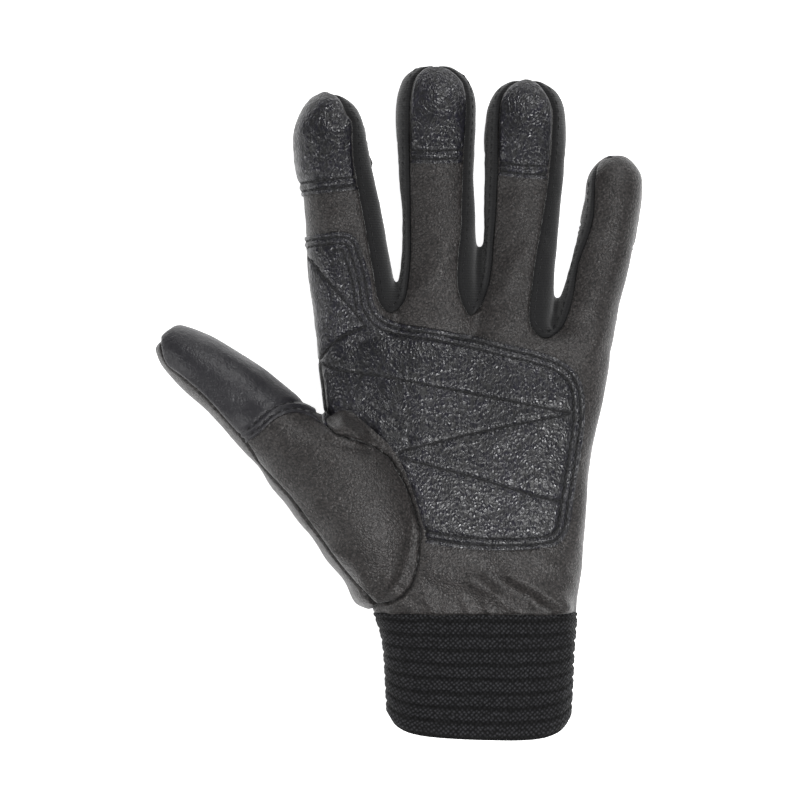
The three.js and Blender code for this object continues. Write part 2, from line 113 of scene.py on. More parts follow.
table_size = 6.0
table = bpy.data.meshes.new("table")
corners = ((-1, -1), (1, -1), (1, 1), (-1, 1))
table.from_pydata(
    [(x * table_size, y * table_size, 0) for x, y in corners], [],
    [(0, 1, 2, 3)],
)
table_top = bpy.data.objects.new("table_top", table)
bpy.context.collection.objects.link(table_top)
paper, shader = new_material("matt_white_paper")
paper_tone = node(paper, "TexNoise", {}, {"Scale": 3.0})
paper_shade = node(paper, "ValToRGB", {"ramp": [(0, "#f4f4f4"), (1, "#f8f8f8")]}, {"Fac": paper_tone})
fill(shader, {
    "Base Color": paper_shade, "Roughness": 0.9, "Emission Color": linear("#ffffff"),
    "Emission Strength": 0.95,
})
table.materials.append(paper)

# The hand form
# The glove's skin before it is cut into panels: one closed form of a palm, four fingers and a thumb,
# flattened underneath where it lies. Every panel is cut out of it, so their edges meet along the seams.
CENTRE = np.array([0.5926, 0.25, 0.0])  # from the middle of the tables to the middle of the model's box
BACK_LEVEL = 1.3
CUFF_TOP = -75.3
THUMB_ANGLE = math.pi / 4
ROW_STEP = 2.0
RING_POINTS = 72
GRID = 1.0

# Rows of each tube, from base to tip: place along it, left and right edge, lowest and highest point.
finger_shape = {"above": 2.2, "below": 4.5, "waist": 0.45}
thumb_shape = {"above": 2.1, "below": 2.4, "waist": 0.45}
palm_shape = {"above": 2.7, "below": 4.5, "waist": 0.42}
index_rows = [
    (14, -27, 5.4, 4, 23), (29, -30.2, 1.8, 1.3, 25), (37, -31.4, -1.6, 1.3, 24.3),
    (44, -32.2, -3.3, 1.3, 23.6), (53, -33, -4.9, 1.3, 23), (68, -34.2, -7.7, 1.3, 22.4),
    (88, -37, -11.8, 1.3, 22.4), (97, -36, -13.5, 1.3, 21.2), (103.2, -33.6, -16.4, 2.3, 18.8),
    (107.2, -28.8, -22.2, 5.3, 14.6),
]
middle_rows = [
    (14, -7, 33, 4, 24.5), (29, -4.4, 30.4, 1.3, 26), (37, -1.3, 27.7, 1.3, 24.8),
    (44, -0.7, 26.7, 1.3, 24), (53, 0.2, 26.2, 1.3, 23.4), (64, 0.2, 25.7, 1.3, 23),
    (74, -0.4, 25.3, 1.3, 22.8), (98, -1.9, 26, 1.3, 23), (107, -1.4, 25.6, 1.3, 21.8),
    (113.6, 0.8, 22.8, 2.5, 18.4), (117.2, 6.4, 17.4, 5.3, 14.4),
]
ring_rows = [
    (12, 20, 57, 4, 24.5), (25, 22, 52.9, 1.3, 26), (34, 26.2, 53.4, 1.3, 25), (42, 27.5, 53.6, 1.3, 24),
    (53, 28.7, 54.5, 1.3, 23), (74, 29.2, 56.3, 1.3, 22.5), (94, 29.5, 58, 1.3, 22.8),
    (103, 30.8, 57.3, 1.3, 21.6), (108.4, 33.2, 54.8, 2.5, 18.6), (112.1, 38.2, 49.4, 5.3, 14.4),
]
little_rows = [
    (8, 42, 71, 4, 22), (19, 49.5, 74.2, 2, 23), (26, 53, 75.5, 1.3, 22), (34, 55.2, 77, 1.3, 21.4),
    (42, 58, 79, 1.3, 20.8), (56, 61.7, 82, 1.3, 20.4), (71, 65.1, 84.6, 1.3, 20.2),
    (78, 66, 84.8, 1.5, 19), (83, 69, 82.2, 2.9, 16.4), (86, 72.2, 79, 5.3, 12.8),
]
thumb_rows = [
    (-45.5, -59, -40, 8, 24), (-41, -60.8, -30, 4.4, 30.5), (-33, -60.2, -21.5, 3, 35),
    (-18, -57.4, -14.6, 3, 38.2), (5.4, -54.4, -17.5, 3.6, 37.4), (15, -52.9, -23.4, 4.2, 35.2),
    (30, -51.8, -26.2, 5.2, 32.8), (46, -51.2, -28.4, 5.6, 31.6), (60, -51.8, -31.4, 6, 30.2),
    (68, -51.2, -34.4, 7.2, 28.2), (73.8, -48.6, -37.6, 10.4, 24.4),
]
palm_rows = [
    (-126, -4.6, 58.6, 3, 29.4), (-87, -6.8, 60.8, 3, 30), (CUFF_TOP, -9.8, 61.4, 3, 28),
    (-71, -10.8, 61.4, 2.6, 28.6), (-58, -13.6, 63.2, 1.3, 30.2), (-42, -17.8, 64.6, 1.3, 31.6),
    (-22, -22.8, 66.2, 1.3, 32), (-4, -26.4, 70, 1.3, 30.8), (11, -28.2, 72.8, 1.3, 28.6),
    (20, -29, 73.6, 1.7, 26), (24, -28, 71.5, 4.3, 21),
]

# Folds and dents of the upper side: from x1, y1 to x2, y2, with the height and half width of each.
folds = [
    (28, -8, 36, -34, -3, 20), (-22, -10, -16, -12, 2.4, 4), (10, -58, 29, -65, 1.6, 4.5),
    (35, -53, 58, -73, 1.8, 4.5), (-36, 73, -8, 71, -0.8, 4), (-2, 79, 26, 79, -0.8, 4),
    (28, 74, 57, 74, -0.8, 4), (58, 55, 84, 50, -0.8, 4), (-60, -8, -42, 9, -1, 5),
]
# Softer creases from use, in the same columns.
creases = [
    (13.8, 54.2, 21.4, 58.2, 0.7, 2.6), (3.4, 35.8, 13.4, 45.8, 0.9, 3.2),
    (36.2, 44.6, 47.4, 54.6, 0.9, 3.2), (33, 36, 40, 44, 0.6, 2.5), (-25.8, 62.6, -16.6, 66.6, 0.6, 2.8),
    (62, 30, 74, 44, 0.7, 3.5), (56, 2, 70, 22, 0.8, 4), (66, -30, 62, -50, 0.7, 3.5),
    (37, -61, 60, -73.5, 1.6, 2.2), (46, -54, 62, -64, 0.9, 2.4), (24, -62, 42, -74.5, 1.3, 2.2),
    (-2, -62, 16, -74, 1.1, 2.8), (30, -61, 52, -74, -0.9, 2), (-24, -52, -14, -62, 0.6, 3),
    (-40, -22, -30, -34, 0.5, 4), (8, -69, 12, -76, 1.0, 1.5), (21, -69, 24, -76, 0.9, 1.4),
    (29, -70, 31, -76, 0.8, 1.3), (43, -69, 46, -76, 0.9, 1.6), (-17, 34, -13, -4, -1.7, 5.5),
    (-52, 2, -40, -8, 0.5, 3.5), (-66, 22, -56, 12, 0.5, 3), (-20.6, -7.8, -15.4, -11.6, 4.8, 2.3),
    (-13.5, -13.4, -9, -16, 1.8, 1.4), (-11, -1, 2, -13, -1.5, 3.0), (-27, -13.8, -12, -17.4, -1.1, 1.7),
    (-4, -66, 4, -74, 1.2, 2.2), (-30, -52, -18, -66, -1.0, 2.6), (-36, -40, -26, -52, 0.9, 2.8),
]
# The long seam down the thumb's outer side, between its front and its back.
thumb_long_seam = [
    (-81, 33.6), (-84, 21), (-82, 12.6), (-76.2, 7.7), (-69.1, 1.7), (-61.3, -6.8), (-54, -15.2),
    (-49.4, -22.6), (-39.4, -33.4), (-31, -44.6), (-19.8, -59.8), (-9, -71.8),
]
scallop = {"height": 0.45, "pitch": 17.0, "phase": 77, "half_width": 6, "starts": 62, "fades_over": 8}
lobe = {"centre": (-15.5, -70.0, 12.0), "push": (-1.0, -1.0), "radius": 5.5}
skin_waves = [{"height": 0.45, "size": 17, "seed": 3.1}, {"height": 0.22, "size": 8, "seed": 9.7}]
gather = {"height": 1.7, "size": 6.5, "seed": 5.5, "reach": 7}
# Levels between which the folds and the waves of the upper side come in.
fold_start, fold_full = 14.0, 22.0
wave_start, wave_full = 4.0, 12.0
SMOOTHING = 7


def through(points, step):
    """Points about a step apart on a smooth curve through the given ones."""
    points = np.array(points, float)
    points = np.vstack([2 * points[0] - points[1], points, 2 * points[-1] - points[-2]])
    curve = []
    for k in range(1, len(points) - 2):
        p = points[k - 1:k + 3]
        knots = np.concatenate([[0], np.cumsum(np.linalg.norm(np.diff(p, axis=0), axis=1) ** 0.5)])
        count = max(int(np.linalg.norm(p[2] - p[1]) / step), 1)
        t = (knots[1] + (knots[2] - knots[1]) * np.arange(count) / count)[:, None]
        first = [
            ((knots[j + 1] - t) * p[j] + (t - knots[j]) * p[j + 1]) / (knots[j + 1] - knots[j])
            for j in range(3)
        ]
        second = [
            ((knots[j + 2] - t) * first[j] + (t - knots[j]) * first[j + 1]) / (knots[j + 2] - knots[j])
            for j in range(2)
        ]
        curve.append(((knots[2] - t) * second[0] + (t - knots[1]) * second[1]) / (knots[2] - knots[1]))
    return np.vstack(curve + [points[-2:-1]])


def section(row, shape, turns):
    """Points of one cross section: side and height at each turn round it."""
    at, left, right, low, high = row
    waist = low + (high - low) * shape["waist"]
    over = np.sin(turns) >= 0
    power = 2 / np.where(over, shape["above"], shape["below"])
    side = (left + right) / 2 + (right - left) / 2 * np.sign(np.cos(turns)) * np.abs(np.cos(turns)) ** power
    rise = np.abs(np.sin(turns)) ** power
    height = np.where(over, waist + rise * (high - waist), waist - rise * (waist - low))
    return side, height


def tube(rows, shape, angle):
    """A closed tube through its rows."""
    turns = 2 * np.pi * (np.arange(RING_POINTS) + 0.5) / RING_POINTS
    rings = []
    for row in through(rows, ROW_STEP):
        side, height = section(row, shape, turns)
        x = side * math.cos(angle) - row[0] * math.sin(angle)
        y = side * math.sin(angle) + row[0] * math.cos(angle)
        rings.append(np.stack([x, y, height], axis=1))
    faces = []
    for r in range(len(rings) - 1):
        for i in range(RING_POINTS):
            a = r * RING_POINTS + i
            b = r * RING_POINTS + (i + 1) % RING_POINTS
            faces.append((a, b, b + RING_POINTS, a + RING_POINTS))
    last = (len(rings) - 1) * RING_POINTS
    faces.append(tuple(reversed(range(RING_POINTS))))
    faces.append(tuple(range(last, last + RING_POINTS)))
    return np.vstack(rings), faces


def edges_of(faces):
    """Every edge of the faces once, with the number of faces that share it."""
    sides = faces.shape[1]
    pairs = np.concatenate([faces[:, [k, (k + 1) % sides]] for k in range(sides)])
    return np.unique(np.sort(pairs, axis=1), axis=0, return_counts=True)


def relaxed(points, edges, times):
    """The points after each has moved towards the middle of its neighbours a number of times."""
    total = len(points)
    neighbours = np.bincount(edges.ravel(), minlength=total)[:, None]
    for _ in range(times):
        sums = [np.bincount(edges[:, 0], points[edges[:, 1], k], total)
                + np.bincount(edges[:, 1], points[edges[:, 0], k], total) for k in range(3)]
        points = 0.5 * points + 0.5 * np.stack(sums, axis=1) / neighbours
    return points


def normals_of(points, faces):
    """A unit normal at each point, from the triangles round it."""
    a, b, c = (points[faces[:, k]] for k in range(3))
    flat = np.cross(b - a, c - a)
    sums = [sum(np.bincount(faces[:, k], flat[:, j], len(points)) for k in range(3)) for j in range(3)]
    total = np.stack(sums, axis=1)
    return total / np.maximum(np.linalg.norm(total, axis=1, keepdims=True), 1e-9)


def nearest(points, line):
    """How far each point lies from a line seen from above, and how far along the line that is."""
    best = np.full(len(points), 1e9)
    along = np.zeros(len(points))
    run = 0.0
    for start, end in zip(line[:-1], line[1:]):
        way = end - start
        length = math.hypot(*way)
        t = np.clip(((points[:, :2] - start) @ way) / max(length ** 2, 1e-9), 0, 1)
        away = np.hypot(points[:, 0] - start[0] - t * way[0], points[:, 1] - start[1] - t * way[1])
        closer = away < best
        best = np.where(closer, away, best)
        along = np.where(closer, run + t * length, along)
        run += length
    return best, along


def bell(distance, width):
    """1 at no distance, and falling to about a third at the width."""
    return np.exp(-(distance / width) ** 2)


def lift_of(points, table):
    """How far the upper side is lifted by a table of folds."""
    weight = np.clip((points[:, 2] - fold_start) / (fold_full - fold_start), 0, 1)
    lift = np.zeros(len(points))
    for x1, y1, x2, y2, height, half in table:
        away, _ = nearest(points, np.array([(x1, y1), (x2, y2)], float))
        lift += height * bell(away, half)
    return lift * weight


def ripple(points, size, seed, stretch=(1, 1, 1)):
    """Soft random waves between about -1 and 1, of a size in millimetres."""
    scaled = points * np.array(stretch) / size + seed
    return np.array([noise.noise(p) for p in scaled.tolist()])


tubes = [
    tube(palm_rows, palm_shape, 0), tube(index_rows, finger_shape, 0), tube(middle_rows, finger_shape, 0),
    tube(ring_rows, finger_shape, 0), tube(little_rows, finger_shape, 0),
    tube(thumb_rows, thumb_shape, THUMB_ANGLE),
]
raw_points = []
raw_faces = []
for tube_points, tube_faces in tubes:
    raw_faces += [tuple(i + len(raw_points) for i in face) for face in tube_faces]
    raw_points += (tube_points / METRE).tolist()
raw = bpy.data.meshes.new("raw_form")
raw.from_pydata(raw_points, [], raw_faces)
raw_form = bpy.data.objects.new("raw_form", raw)
bpy.context.collection.objects.link(raw_form)
remesh = raw_form.modifiers.new("join", "REMESH")
remesh.mode = "VOXEL"
remesh.voxel_size = GRID / METRE
evaluated = raw_form.evaluated_get(bpy.context.evaluated_depsgraph_get())
joined = bpy.data.meshes.new_from_object(evaluated)
form_points = np.empty(len(joined.vertices) * 3)
joined.vertices.foreach_get("co", form_points)
form_points = form_points.reshape(-1, 3) * METRE
quads = np.empty(len(joined.loops), int)
joined.loops.foreach_get("vertex_index", quads)
quads = quads.reshape(-1, 4)
bpy.data.objects.remove(raw_form)
bpy.data.meshes.remove(raw)
bpy.data.meshes.remove(joined)

form_edges, _ = edges_of(quads)
form_points = relaxed(form_points, form_edges, SMOOTHING)
form_points[:, 2] += lift_of(form_points, folds) + lift_of(form_points, creases)
whole = np.concatenate([quads[:, [0, 1, 2]], quads[:, [0, 2, 3]]])
form_normals = normals_of(form_points, whole)
over = np.clip((form_points[:, 2] - wave_start) / (wave_full - wave_start), 0, 1)
wave = sum(w["height"] * ripple(form_points, w["size"], w["seed"]) for w in skin_waves)
# The leather gathers where the elastic cuff draws it in.
gathers = gather["height"] * ripple(form_points, gather["size"], gather["seed"], (1, 0.16, 1))
gathers *= np.exp(-np.maximum(form_points[:, 1] - CUFF_TOP, 0) / gather["reach"])
form_points += form_normals * (wave * (0.25 + 0.75 * over) + gathers * over)[:, None]
# The thumb's outer side is scalloped by its seam, and hangs out in a lobe where it meets the cuff.
from_seam, along_seam = nearest(form_points, through(thumb_long_seam, 1.2))
bulge = scallop["height"] * np.cos(2 * np.pi * (along_seam - scallop["phase"]) / scallop["pitch"])
bulge *= bell(from_seam, scallop["half_width"])
bulge *= np.clip((along_seam - scallop["starts"]) / scallop["fades_over"], 0, 1)
form_points += form_normals * bulge[:, None]
from_lobe = np.linalg.norm(form_points - np.array(lobe["centre"]), axis=1)
form_points[:, :2] += np.array(lobe["push"]) * bell(from_lobe, lobe["radius"])[:, None]
form_points = relaxed(form_points, form_edges, 1)
form_points[:, 2] = np.maximum(form_points[:, 2], BACK_LEVEL)
form_normals = normals_of(form_points, whole)
form = {"points": form_points + CENTRE, "normals": form_normals}


def placed(line):
    """A line of the tables, moved to the model's middle."""
    return np.array(line, float) + CENTRE[:2]


def curve(line, step=1.2):
    """A seam or edge as a smooth line in the model's place."""
    return placed(through(line, step))


def inside_of(outline):
    """Measures how far points lie from an outline seen from above, negative inside it."""
    low = outline.min(axis=0) - 3
    high = outline.max(axis=0) + 3

    def measure(points):
        result = np.full(len(points), 3.0)
        near = np.flatnonzero(((points[:, :2] > low) & (points[:, :2] < high)).all(axis=1))
        chosen = points[near]
        best = np.full(len(chosen), 1e9)
        odd = np.zeros(len(chosen), bool)
        x = chosen[:, 0]
        y = chosen[:, 1]
        for (x1, y1), (x2, y2) in zip(outline, np.roll(outline, -1, axis=0)):
            dx = x2 - x1
            dy = y2 - y1
            t = np.clip(((x - x1) * dx + (y - y1) * dy) / max(dx * dx + dy * dy, 1e-9), 0, 1)
            best = np.minimum(best, (x - x1 - t * dx) ** 2 + (y - y1 - t * dy) ** 2)
            if dy:
                odd ^= ((y1 > y) != (y2 > y)) & (x < x1 + (y - y1) * dx / dy)
        result[near] = np.sqrt(best) * np.where(odd, -1, 1)
        return result

    return measure


def below(level, axis=2):
    """Measures how far points lie above a level, negative below it."""
    return lambda points: points[:, axis] - level


def parted(faces, measure, sheet=form):
    """Cuts triangles where the measure is zero. Gives those where it is negative, then the others."""
    points = sheet["points"]
    used = np.unique(faces)
    depth = np.zeros(len(points))
    depth[used] = measure(points[used])
    inner = depth[faces] < 0
    count = inner.sum(axis=1)
    mixed = (count == 1) | (count == 2)
    cut = faces[mixed]
    alone_inside = count[mixed] == 1
    alone = np.where(alone_inside, inner[mixed].argmax(axis=1), (~inner[mixed]).argmax(axis=1))
    row = np.arange(len(cut))
    a, b, c = (cut[row, (alone + k) % 3] for k in range(3))
    ends, back = np.unique(
        np.sort(np.concatenate([np.stack([a, b], 1), np.stack([a, c], 1)]), axis=1), axis=0,
        return_inverse=True,
    )
    share = depth[ends[:, 0]] / (depth[ends[:, 0]] - depth[ends[:, 1]])
    share = np.clip(share, 0.06, 0.94)[:, None]
    fresh = len(points) + back.ravel()
    p = fresh[:len(a)]
    q = fresh[len(a):]
    for key in sheet:
        values = sheet[key]
        sheet[key] = np.concatenate([values, values[ends[:, 0]] * (1 - share) + values[ends[:, 1]] * share])
    tip = np.stack([a, p, q], 1)
    rest = np.concatenate([np.stack([p, b, c], 1), np.stack([p, c, q], 1)])
    twice = np.concatenate([alone_inside, alone_inside])
    inside = np.concatenate([faces[count == 3], tip[alone_inside], rest[~twice]])
    outside = np.concatenate([faces[count == 0], tip[~alone_inside], rest[twice]])
    return inside, outside


SIDE_SEAM = 8.0
lower_faces, upper_faces = parted(whole, below(SIDE_SEAM))

# The palm, thumb and finger leather
# One panel covers the palm and the palm side of the fingers, and two more make the thumb, all of a matt
# synthetic leather: polyurethane with a fine embossed pebble, which gives a soft sheen at the turns.
# The panels are sewn face to face and turned, so that their edges roll down into each seam.
thumb_set_in = [
    (-27, -7.4), (-23, -11.6), (-18.2, -13.8), (-8.6, -17), (-4.6, -19.6), (-0.8, -25.4), (1.2, -29),
    (3.4, -34.6), (5.4, -41.8), (6.6, -46.2), (6, -51.4), (5.4, -56.6), (2.6, -65.8), (-2.2, -70),
    (-8, -71.8), (-12, CUFF_TOP),
]
thumb_surround = [(-40, CUFF_TOP - 4), (-100, -60), (-100, 40), (-60, 40), (-27, -2)]
thumb_front_level = 18.0
thumb_back_line = [(-26, -4), (-24, -14), (-20, -32), (-14, -56), (-9, CUFF_TOP)]

pebbled, shader = new_material("embossed_polyurethane_leather")
# Matt grey with a soft pebble. The real pebble of half a millimetre is too fine to show, so its cells are
# drawn 1 mm across with lines of 0.9 mm. The colour is painted darker in the pebble's valleys as shade and
# lighter on its tops as sheen. The tone drifts over 28 mm, and painted shade darkens it into the seams.
leather_place = node(pebbled, "TexCoord", {}, {}).outputs["Object"]
pebble = node(pebbled, "TexVoronoi", {"feature": "DISTANCE_TO_EDGE"}, {
    "Vector": leather_place, "Scale": METRE / 1.0, "Randomness": 1.0,
})
hide_crease = node(pebbled, "TexNoise", {}, {"Vector": leather_place, "Scale": METRE / 0.9, "Detail": 1.0})
hide_height = node(pebbled, "Math", {"operation": "MULTIPLY_ADD"}, {0: pebble, 1: 0.9, 2: hide_crease})
hide_bump = node(pebbled, "Bump", {}, {"Height": hide_height, "Strength": 1.0, "Distance": 0.26 / METRE})
tone = node(pebbled, "TexNoise", {}, {
    "Vector": leather_place, "Scale": METRE / 28, "Detail": 5.0, "Roughness": 0.6,
})
tint = node(pebbled, "ValToRGB", {"ramp": [(0.3, "#2a2726"), (0.72, "#363332")]}, {"Fac": tone})
# Painted light: the colour is darker in the pebble's valleys as shade and lighter on its tops as sheen.
painted_pebble_light = node(pebbled, "MapRange", {}, {
    "Value": hide_height, "From Min": 0.4, "From Max": 0.95, "To Min": 0.25, "To Max": 1.6,
})
# Painted shade: the colour darkens within about half a millimetre of each seam, where the panels roll down.
seam_closeness = node(pebbled, "Attribute", {"attribute_name": "seam_distance"}, {})
painted_seam_shade = node(pebbled, "MapRange", {}, {
    "Value": seam_closeness.outputs["Fac"], "From Min": 0.1, "From Max": 0.55, "To Min": 0.2, "To Max": 1.0,
})
both = node(pebbled, "Math", {"operation": "MULTIPLY"}, {0: painted_pebble_light, 1: painted_seam_shade})
shaded = node(pebbled, "VectorMath", {"operation": "SCALE"}, {0: tint, "Scale": both})
gloss = node(pebbled, "MapRange", {}, {
    "Value": hide_crease, "From Min": 0.3, "From Max": 0.7, "To Min": 0.52, "To Max": 0.42,
})
fill(shader, {
    "Base Color": shaded, "Roughness": gloss, "Normal": hide_bump,
    "Specular IOR Level": 0.42, "Sheen Weight": 0.12, "Sheen Roughness": 0.4,
})


def rim_of(faces):
    """The edges that only one face has, in the direction that the face runs them."""
    pairs = np.concatenate([faces[:, [k, (k + 1) % 3]] for k in range(3)])
    _, back, count = np.unique(np.sort(pairs, axis=1), axis=0, return_inverse=True, return_counts=True)
    return pairs[count[back.ravel()] == 1]


def gap_to(samples, points):
    """How far each point lies from the nearest of the samples."""
    tree = KDTree(len(samples))
    for k, sample in enumerate(samples.tolist()):
        tree.insert(sample, k)
    tree.balance()
    return np.array([tree.find(p)[2] for p in points.tolist()])


def rim_distance(points, faces, wanted=None):
    """How far each point lies from the rim of the faces."""
    rim = rim_of(faces)
    samples = np.concatenate([points[rim[:, 0]] * (1 - t) + points[rim[:, 1]] * t for t in (0, 0.34, 0.67)])
    return gap_to(samples, points if wanted is None else wanted)


def lifted_out(faces, sheet=form):
    """A sheet of its own with only the points that the faces use."""
    used, back = np.unique(faces, return_inverse=True)
    return {key: values[used] for key, values in sheet.items()}, back.reshape(-1, 3)


def without_crumbs(faces, total, least=60):
    """The faces without loose islands of fewer than the least number of triangles."""
    group = np.arange(total)
    edges, _ = edges_of(faces)
    while True:
        low = np.minimum(group[edges[:, 0]], group[edges[:, 1]])
        before = group.copy()
        np.minimum.at(group, edges[:, 0], low)
        np.minimum.at(group, edges[:, 1], low)
        group = group[group]
        if (group == before).all():
            break
    size = np.bincount(group[faces[:, 0]], minlength=total)
    return faces[size[group[faces[:, 0]]] >= least]


def own_sheet(faces):
    """A sheet of the faces' own, without crumbs."""
    sheet, faces = lifted_out(faces)
    return lifted_out(without_crumbs(faces, len(sheet["points"])), sheet)


def built(name, points, faces, material, fields, crisp):
    """An object from points in millimetres and triangles, with its fields kept as attributes."""
    mesh = bpy.data.meshes.new(name)
    mesh.vertices.add(len(points))
    mesh.vertices.foreach_set("co", (points / METRE).ravel())
    mesh.loops.add(faces.size)
    mesh.loops.foreach_set("vertex_index", faces.ravel().astype(np.int32))
    mesh.polygons.add(len(faces))
    mesh.polygons.foreach_set("loop_start", (np.arange(len(faces)) * 3).astype(np.int32))
    mesh.polygons.foreach_set("loop_total", np.full(len(faces), 3, np.int32))
    mesh.update(calc_edges=True)
    mesh.validate()
    for key, values in fields.items():
        mesh.attributes.new(key, "FLOAT", "POINT").data.foreach_set("value", values.astype(np.float32))
    mesh.polygons.foreach_set("use_smooth", np.ones(len(mesh.polygons), bool))
    mesh.set_sharp_from_angle(angle=math.radians(crisp))
    mesh.materials.append(material)
    piece = bpy.data.objects.new(name, mesh)
    bpy.context.collection.objects.link(piece)
    return piece


def closed(name, top, under, faces, material, fields, crisp=55):
    """A wall between two sides that have the same triangles, closed by the cut edge between them."""
    total = len(top)
    rim = rim_of(faces)
    everything = np.concatenate([
        faces,
        faces[:, ::-1] + total,
        np.stack([rim[:, 1], rim[:, 0], rim[:, 0] + total], 1),
        np.stack([rim[:, 1], rim[:, 0] + total, rim[:, 1] + total], 1),
    ])
    doubled = {key: np.concatenate([values, values]) for key, values in fields.items()}
    return built(name, np.concatenate([top, under]), everything, material, doubled, crisp)


def attach(piece, slot, cad_node=None):
    """Fixes a piece to the glove and hides the CAD node that it takes the place of. The slot is not used.
    """
    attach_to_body(piece, "root")
    if cad_node:
        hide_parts(cad_node)


PANEL_LOWEST = 0.35


def turned_panel(name, faces, material, thickness=1.2, roll=1.0, width=0.6, pucker=0.12):
    """A panel sewn face to face and turned: it rolls down into its seams, with small puckers there."""
    sheet, faces = own_sheet(faces)
    flat = sheet["points"].copy()
    whole_panel = faces
    for level in (0.4, 1.0):
        inner, outer = parted(
            faces, lambda p, level=level: rim_distance(flat, whole_panel, p) - level, sheet,
        )
        faces = np.concatenate([inner, outer])
    away = rim_distance(flat, whole_panel, sheet["points"])
    crinkle = ripple(sheet["points"], 2.6, 21.3) * pucker * bell(away, 3.2)
    drop = -roll * bell(away, width) + crinkle
    points = sheet["points"] + sheet["normals"] * drop[:, None]
    points[:, 2] = np.maximum(points[:, 2], PANEL_LOWEST)
    lining = points - sheet["normals"] * thickness
    return closed(name, points, lining, faces, material, {"seam_distance": away})


_, upper_hand = parted(upper_faces, below(CUFF_TOP + CENTRE[1], 1))
_, lower_hand = parted(lower_faces, below(CUFF_TOP + CENTRE[1], 1))

thumb_region = np.vstack([curve(thumb_set_in), placed(thumb_surround)])
thumb_upper, palm_faces = parted(upper_hand, inside_of(thumb_region))
front_region = np.vstack(
    [curve(thumb_set_in[:-1]), curve(thumb_long_seam)[::-1], placed([(-60, 40), (-27, -2)])],
)
front_part, back_part = parted(thumb_upper, inside_of(front_region))
low_front, front_faces = parted(front_part, below(thumb_front_level))
under_region = np.vstack([curve(thumb_back_line), placed(thumb_surround)])
thumb_under, back_faces = parted(lower_hand, inside_of(under_region))

thumb_front = turned_panel("thumb_front_leather", front_faces, pebbled)
attach(thumb_front, "synthetic_leather", "thumb_front")
thumb_back = turned_panel(
    "thumb_back_leather", np.concatenate([back_part, low_front, thumb_under]), pebbled,
)
attach(thumb_back, "synthetic_leather", "thumb_back")

# The fourchettes
# Three strips of black stretch knit, one between each two fingers, which run up one finger's side, round
# the tip and down to the crotch. The knit's fine courses make them matt, the darkest part of the glove.
fourchette_seams = {
    "index_middle": [
        (-26, 124), (-26, 107.6), (-22, 106.3), (-19.8, 103), (-19, 100.4), (-17, 98), (-16.6, 90),
        (-15.8, 80), (-13, 64.6), (-11, 53), (-9, 42), (-7.4, 34.2), (-3.8, 30.6), (0.2, 34.2),
        (2.2, 45.4), (2.6, 53), (2.2, 82.6), (2.2, 101), (2.8, 107.8), (4.6, 113.4), (8.2, 116.6),
        (12, 117.2), (12, 124),
    ],
    "middle_ring": [
        (12, 124), (12, 117.2), (16.1, 116.4), (19.4, 114), (22, 110.8), (23.2, 104.6), (22.2, 82.6),
        (21.4, 61), (20.2, 38.2), (24.6, 29.6), (29.4, 38.2), (32, 61), (33, 78.2), (33.6, 100.6),
        (34.4, 105.4), (37.2, 109.8), (40.4, 111.8), (44, 112.4), (44, 124),
    ],
    "ring_little": [
        (44, 124), (44, 112.4), (47.8, 111.2), (51, 107.6), (53, 102.6), (53.4, 97.8), (51.8, 76.6),
        (49.4, 61), (46.2, 41.8), (45.4, 25.8), (50.2, 21.8), (55, 24.6), (58.6, 33), (61.4, 47.4),
        (66.2, 62.2), (67.4, 77), (68.4, 81.6), (71, 84.8), (74.8, 86), (74.8, 95),
    ],
}
knit, shader = new_material("fine_stretch_knit")
# Even and without shine: courses 0.9 mm apart over loops of 0.7 mm.
knit_place = node(knit, "TexCoord", {}, {}).outputs["Object"]
courses = node(knit, "TexWave", {"bands_direction": "Y"}, {
    "Vector": knit_place, "Scale": METRE / 0.9 * math.pi / 10, "Distortion": 1.5, "Detail": 2.0,
    "Detail Scale": 2.0,
})
wales = node(knit, "TexVoronoi", {}, {"Vector": knit_place, "Scale": METRE / 0.7})
knit_height = node(knit, "Math", {"operation": "ADD"}, {0: courses.outputs["Fac"], 1: wales})
knit_bump = node(knit, "Bump", {}, {"Height": knit_height, "Strength": 0.5, "Distance": 0.12 / METRE})
knit_tint = node(knit, "ValToRGB", {"ramp": [(0, "#0c0c0d"), (1, "#1a1a1b")]}, {"Fac": knit_height})
fill(shader, {
    "Base Color": knit_tint, "Normal": knit_bump, "Roughness": 0.9,
    "Specular IOR Level": 0.25, "Sheen Weight": 0.25, "Sheen Roughness": 0.5,
})

fourchette_tops = {}
for between, seam in fourchette_seams.items():
    strip_faces, palm_faces = parted(palm_faces, inside_of(curve(seam)))
    fourchette = turned_panel("fourchette_" + between + "_knit", strip_faces, knit, roll=0.8, pucker=0.2)
    attach(fourchette, "stretch_fabric", "fourchette_" + between)
    fourchette_tops[between] = (seam, fourchette)

palm_leather = turned_panel("palm_panel_leather", palm_faces, pebbled)
attach(palm_leather, "synthetic_leather", "palm_panel")

# The back of the hand
# Two panels of a black spacer mesh, woven with a fine diagonal, above and below a plain knit band over the
# knuckles. All three are turned at their seams like the leather.
knuckle_top = [(-60, 15), (-24.6, 14.2), (-2.2, 15.4), (27, 13), (54.6, 9), (71.8, 5), (96, 0)]
knuckle_bottom = [(-60, -16), (-23.4, -18.6), (7.4, -21.4), (39, -25.8), (61.4, -30.2), (96, -36)]
spacer, shader = new_material("diagonal_spacer_mesh")
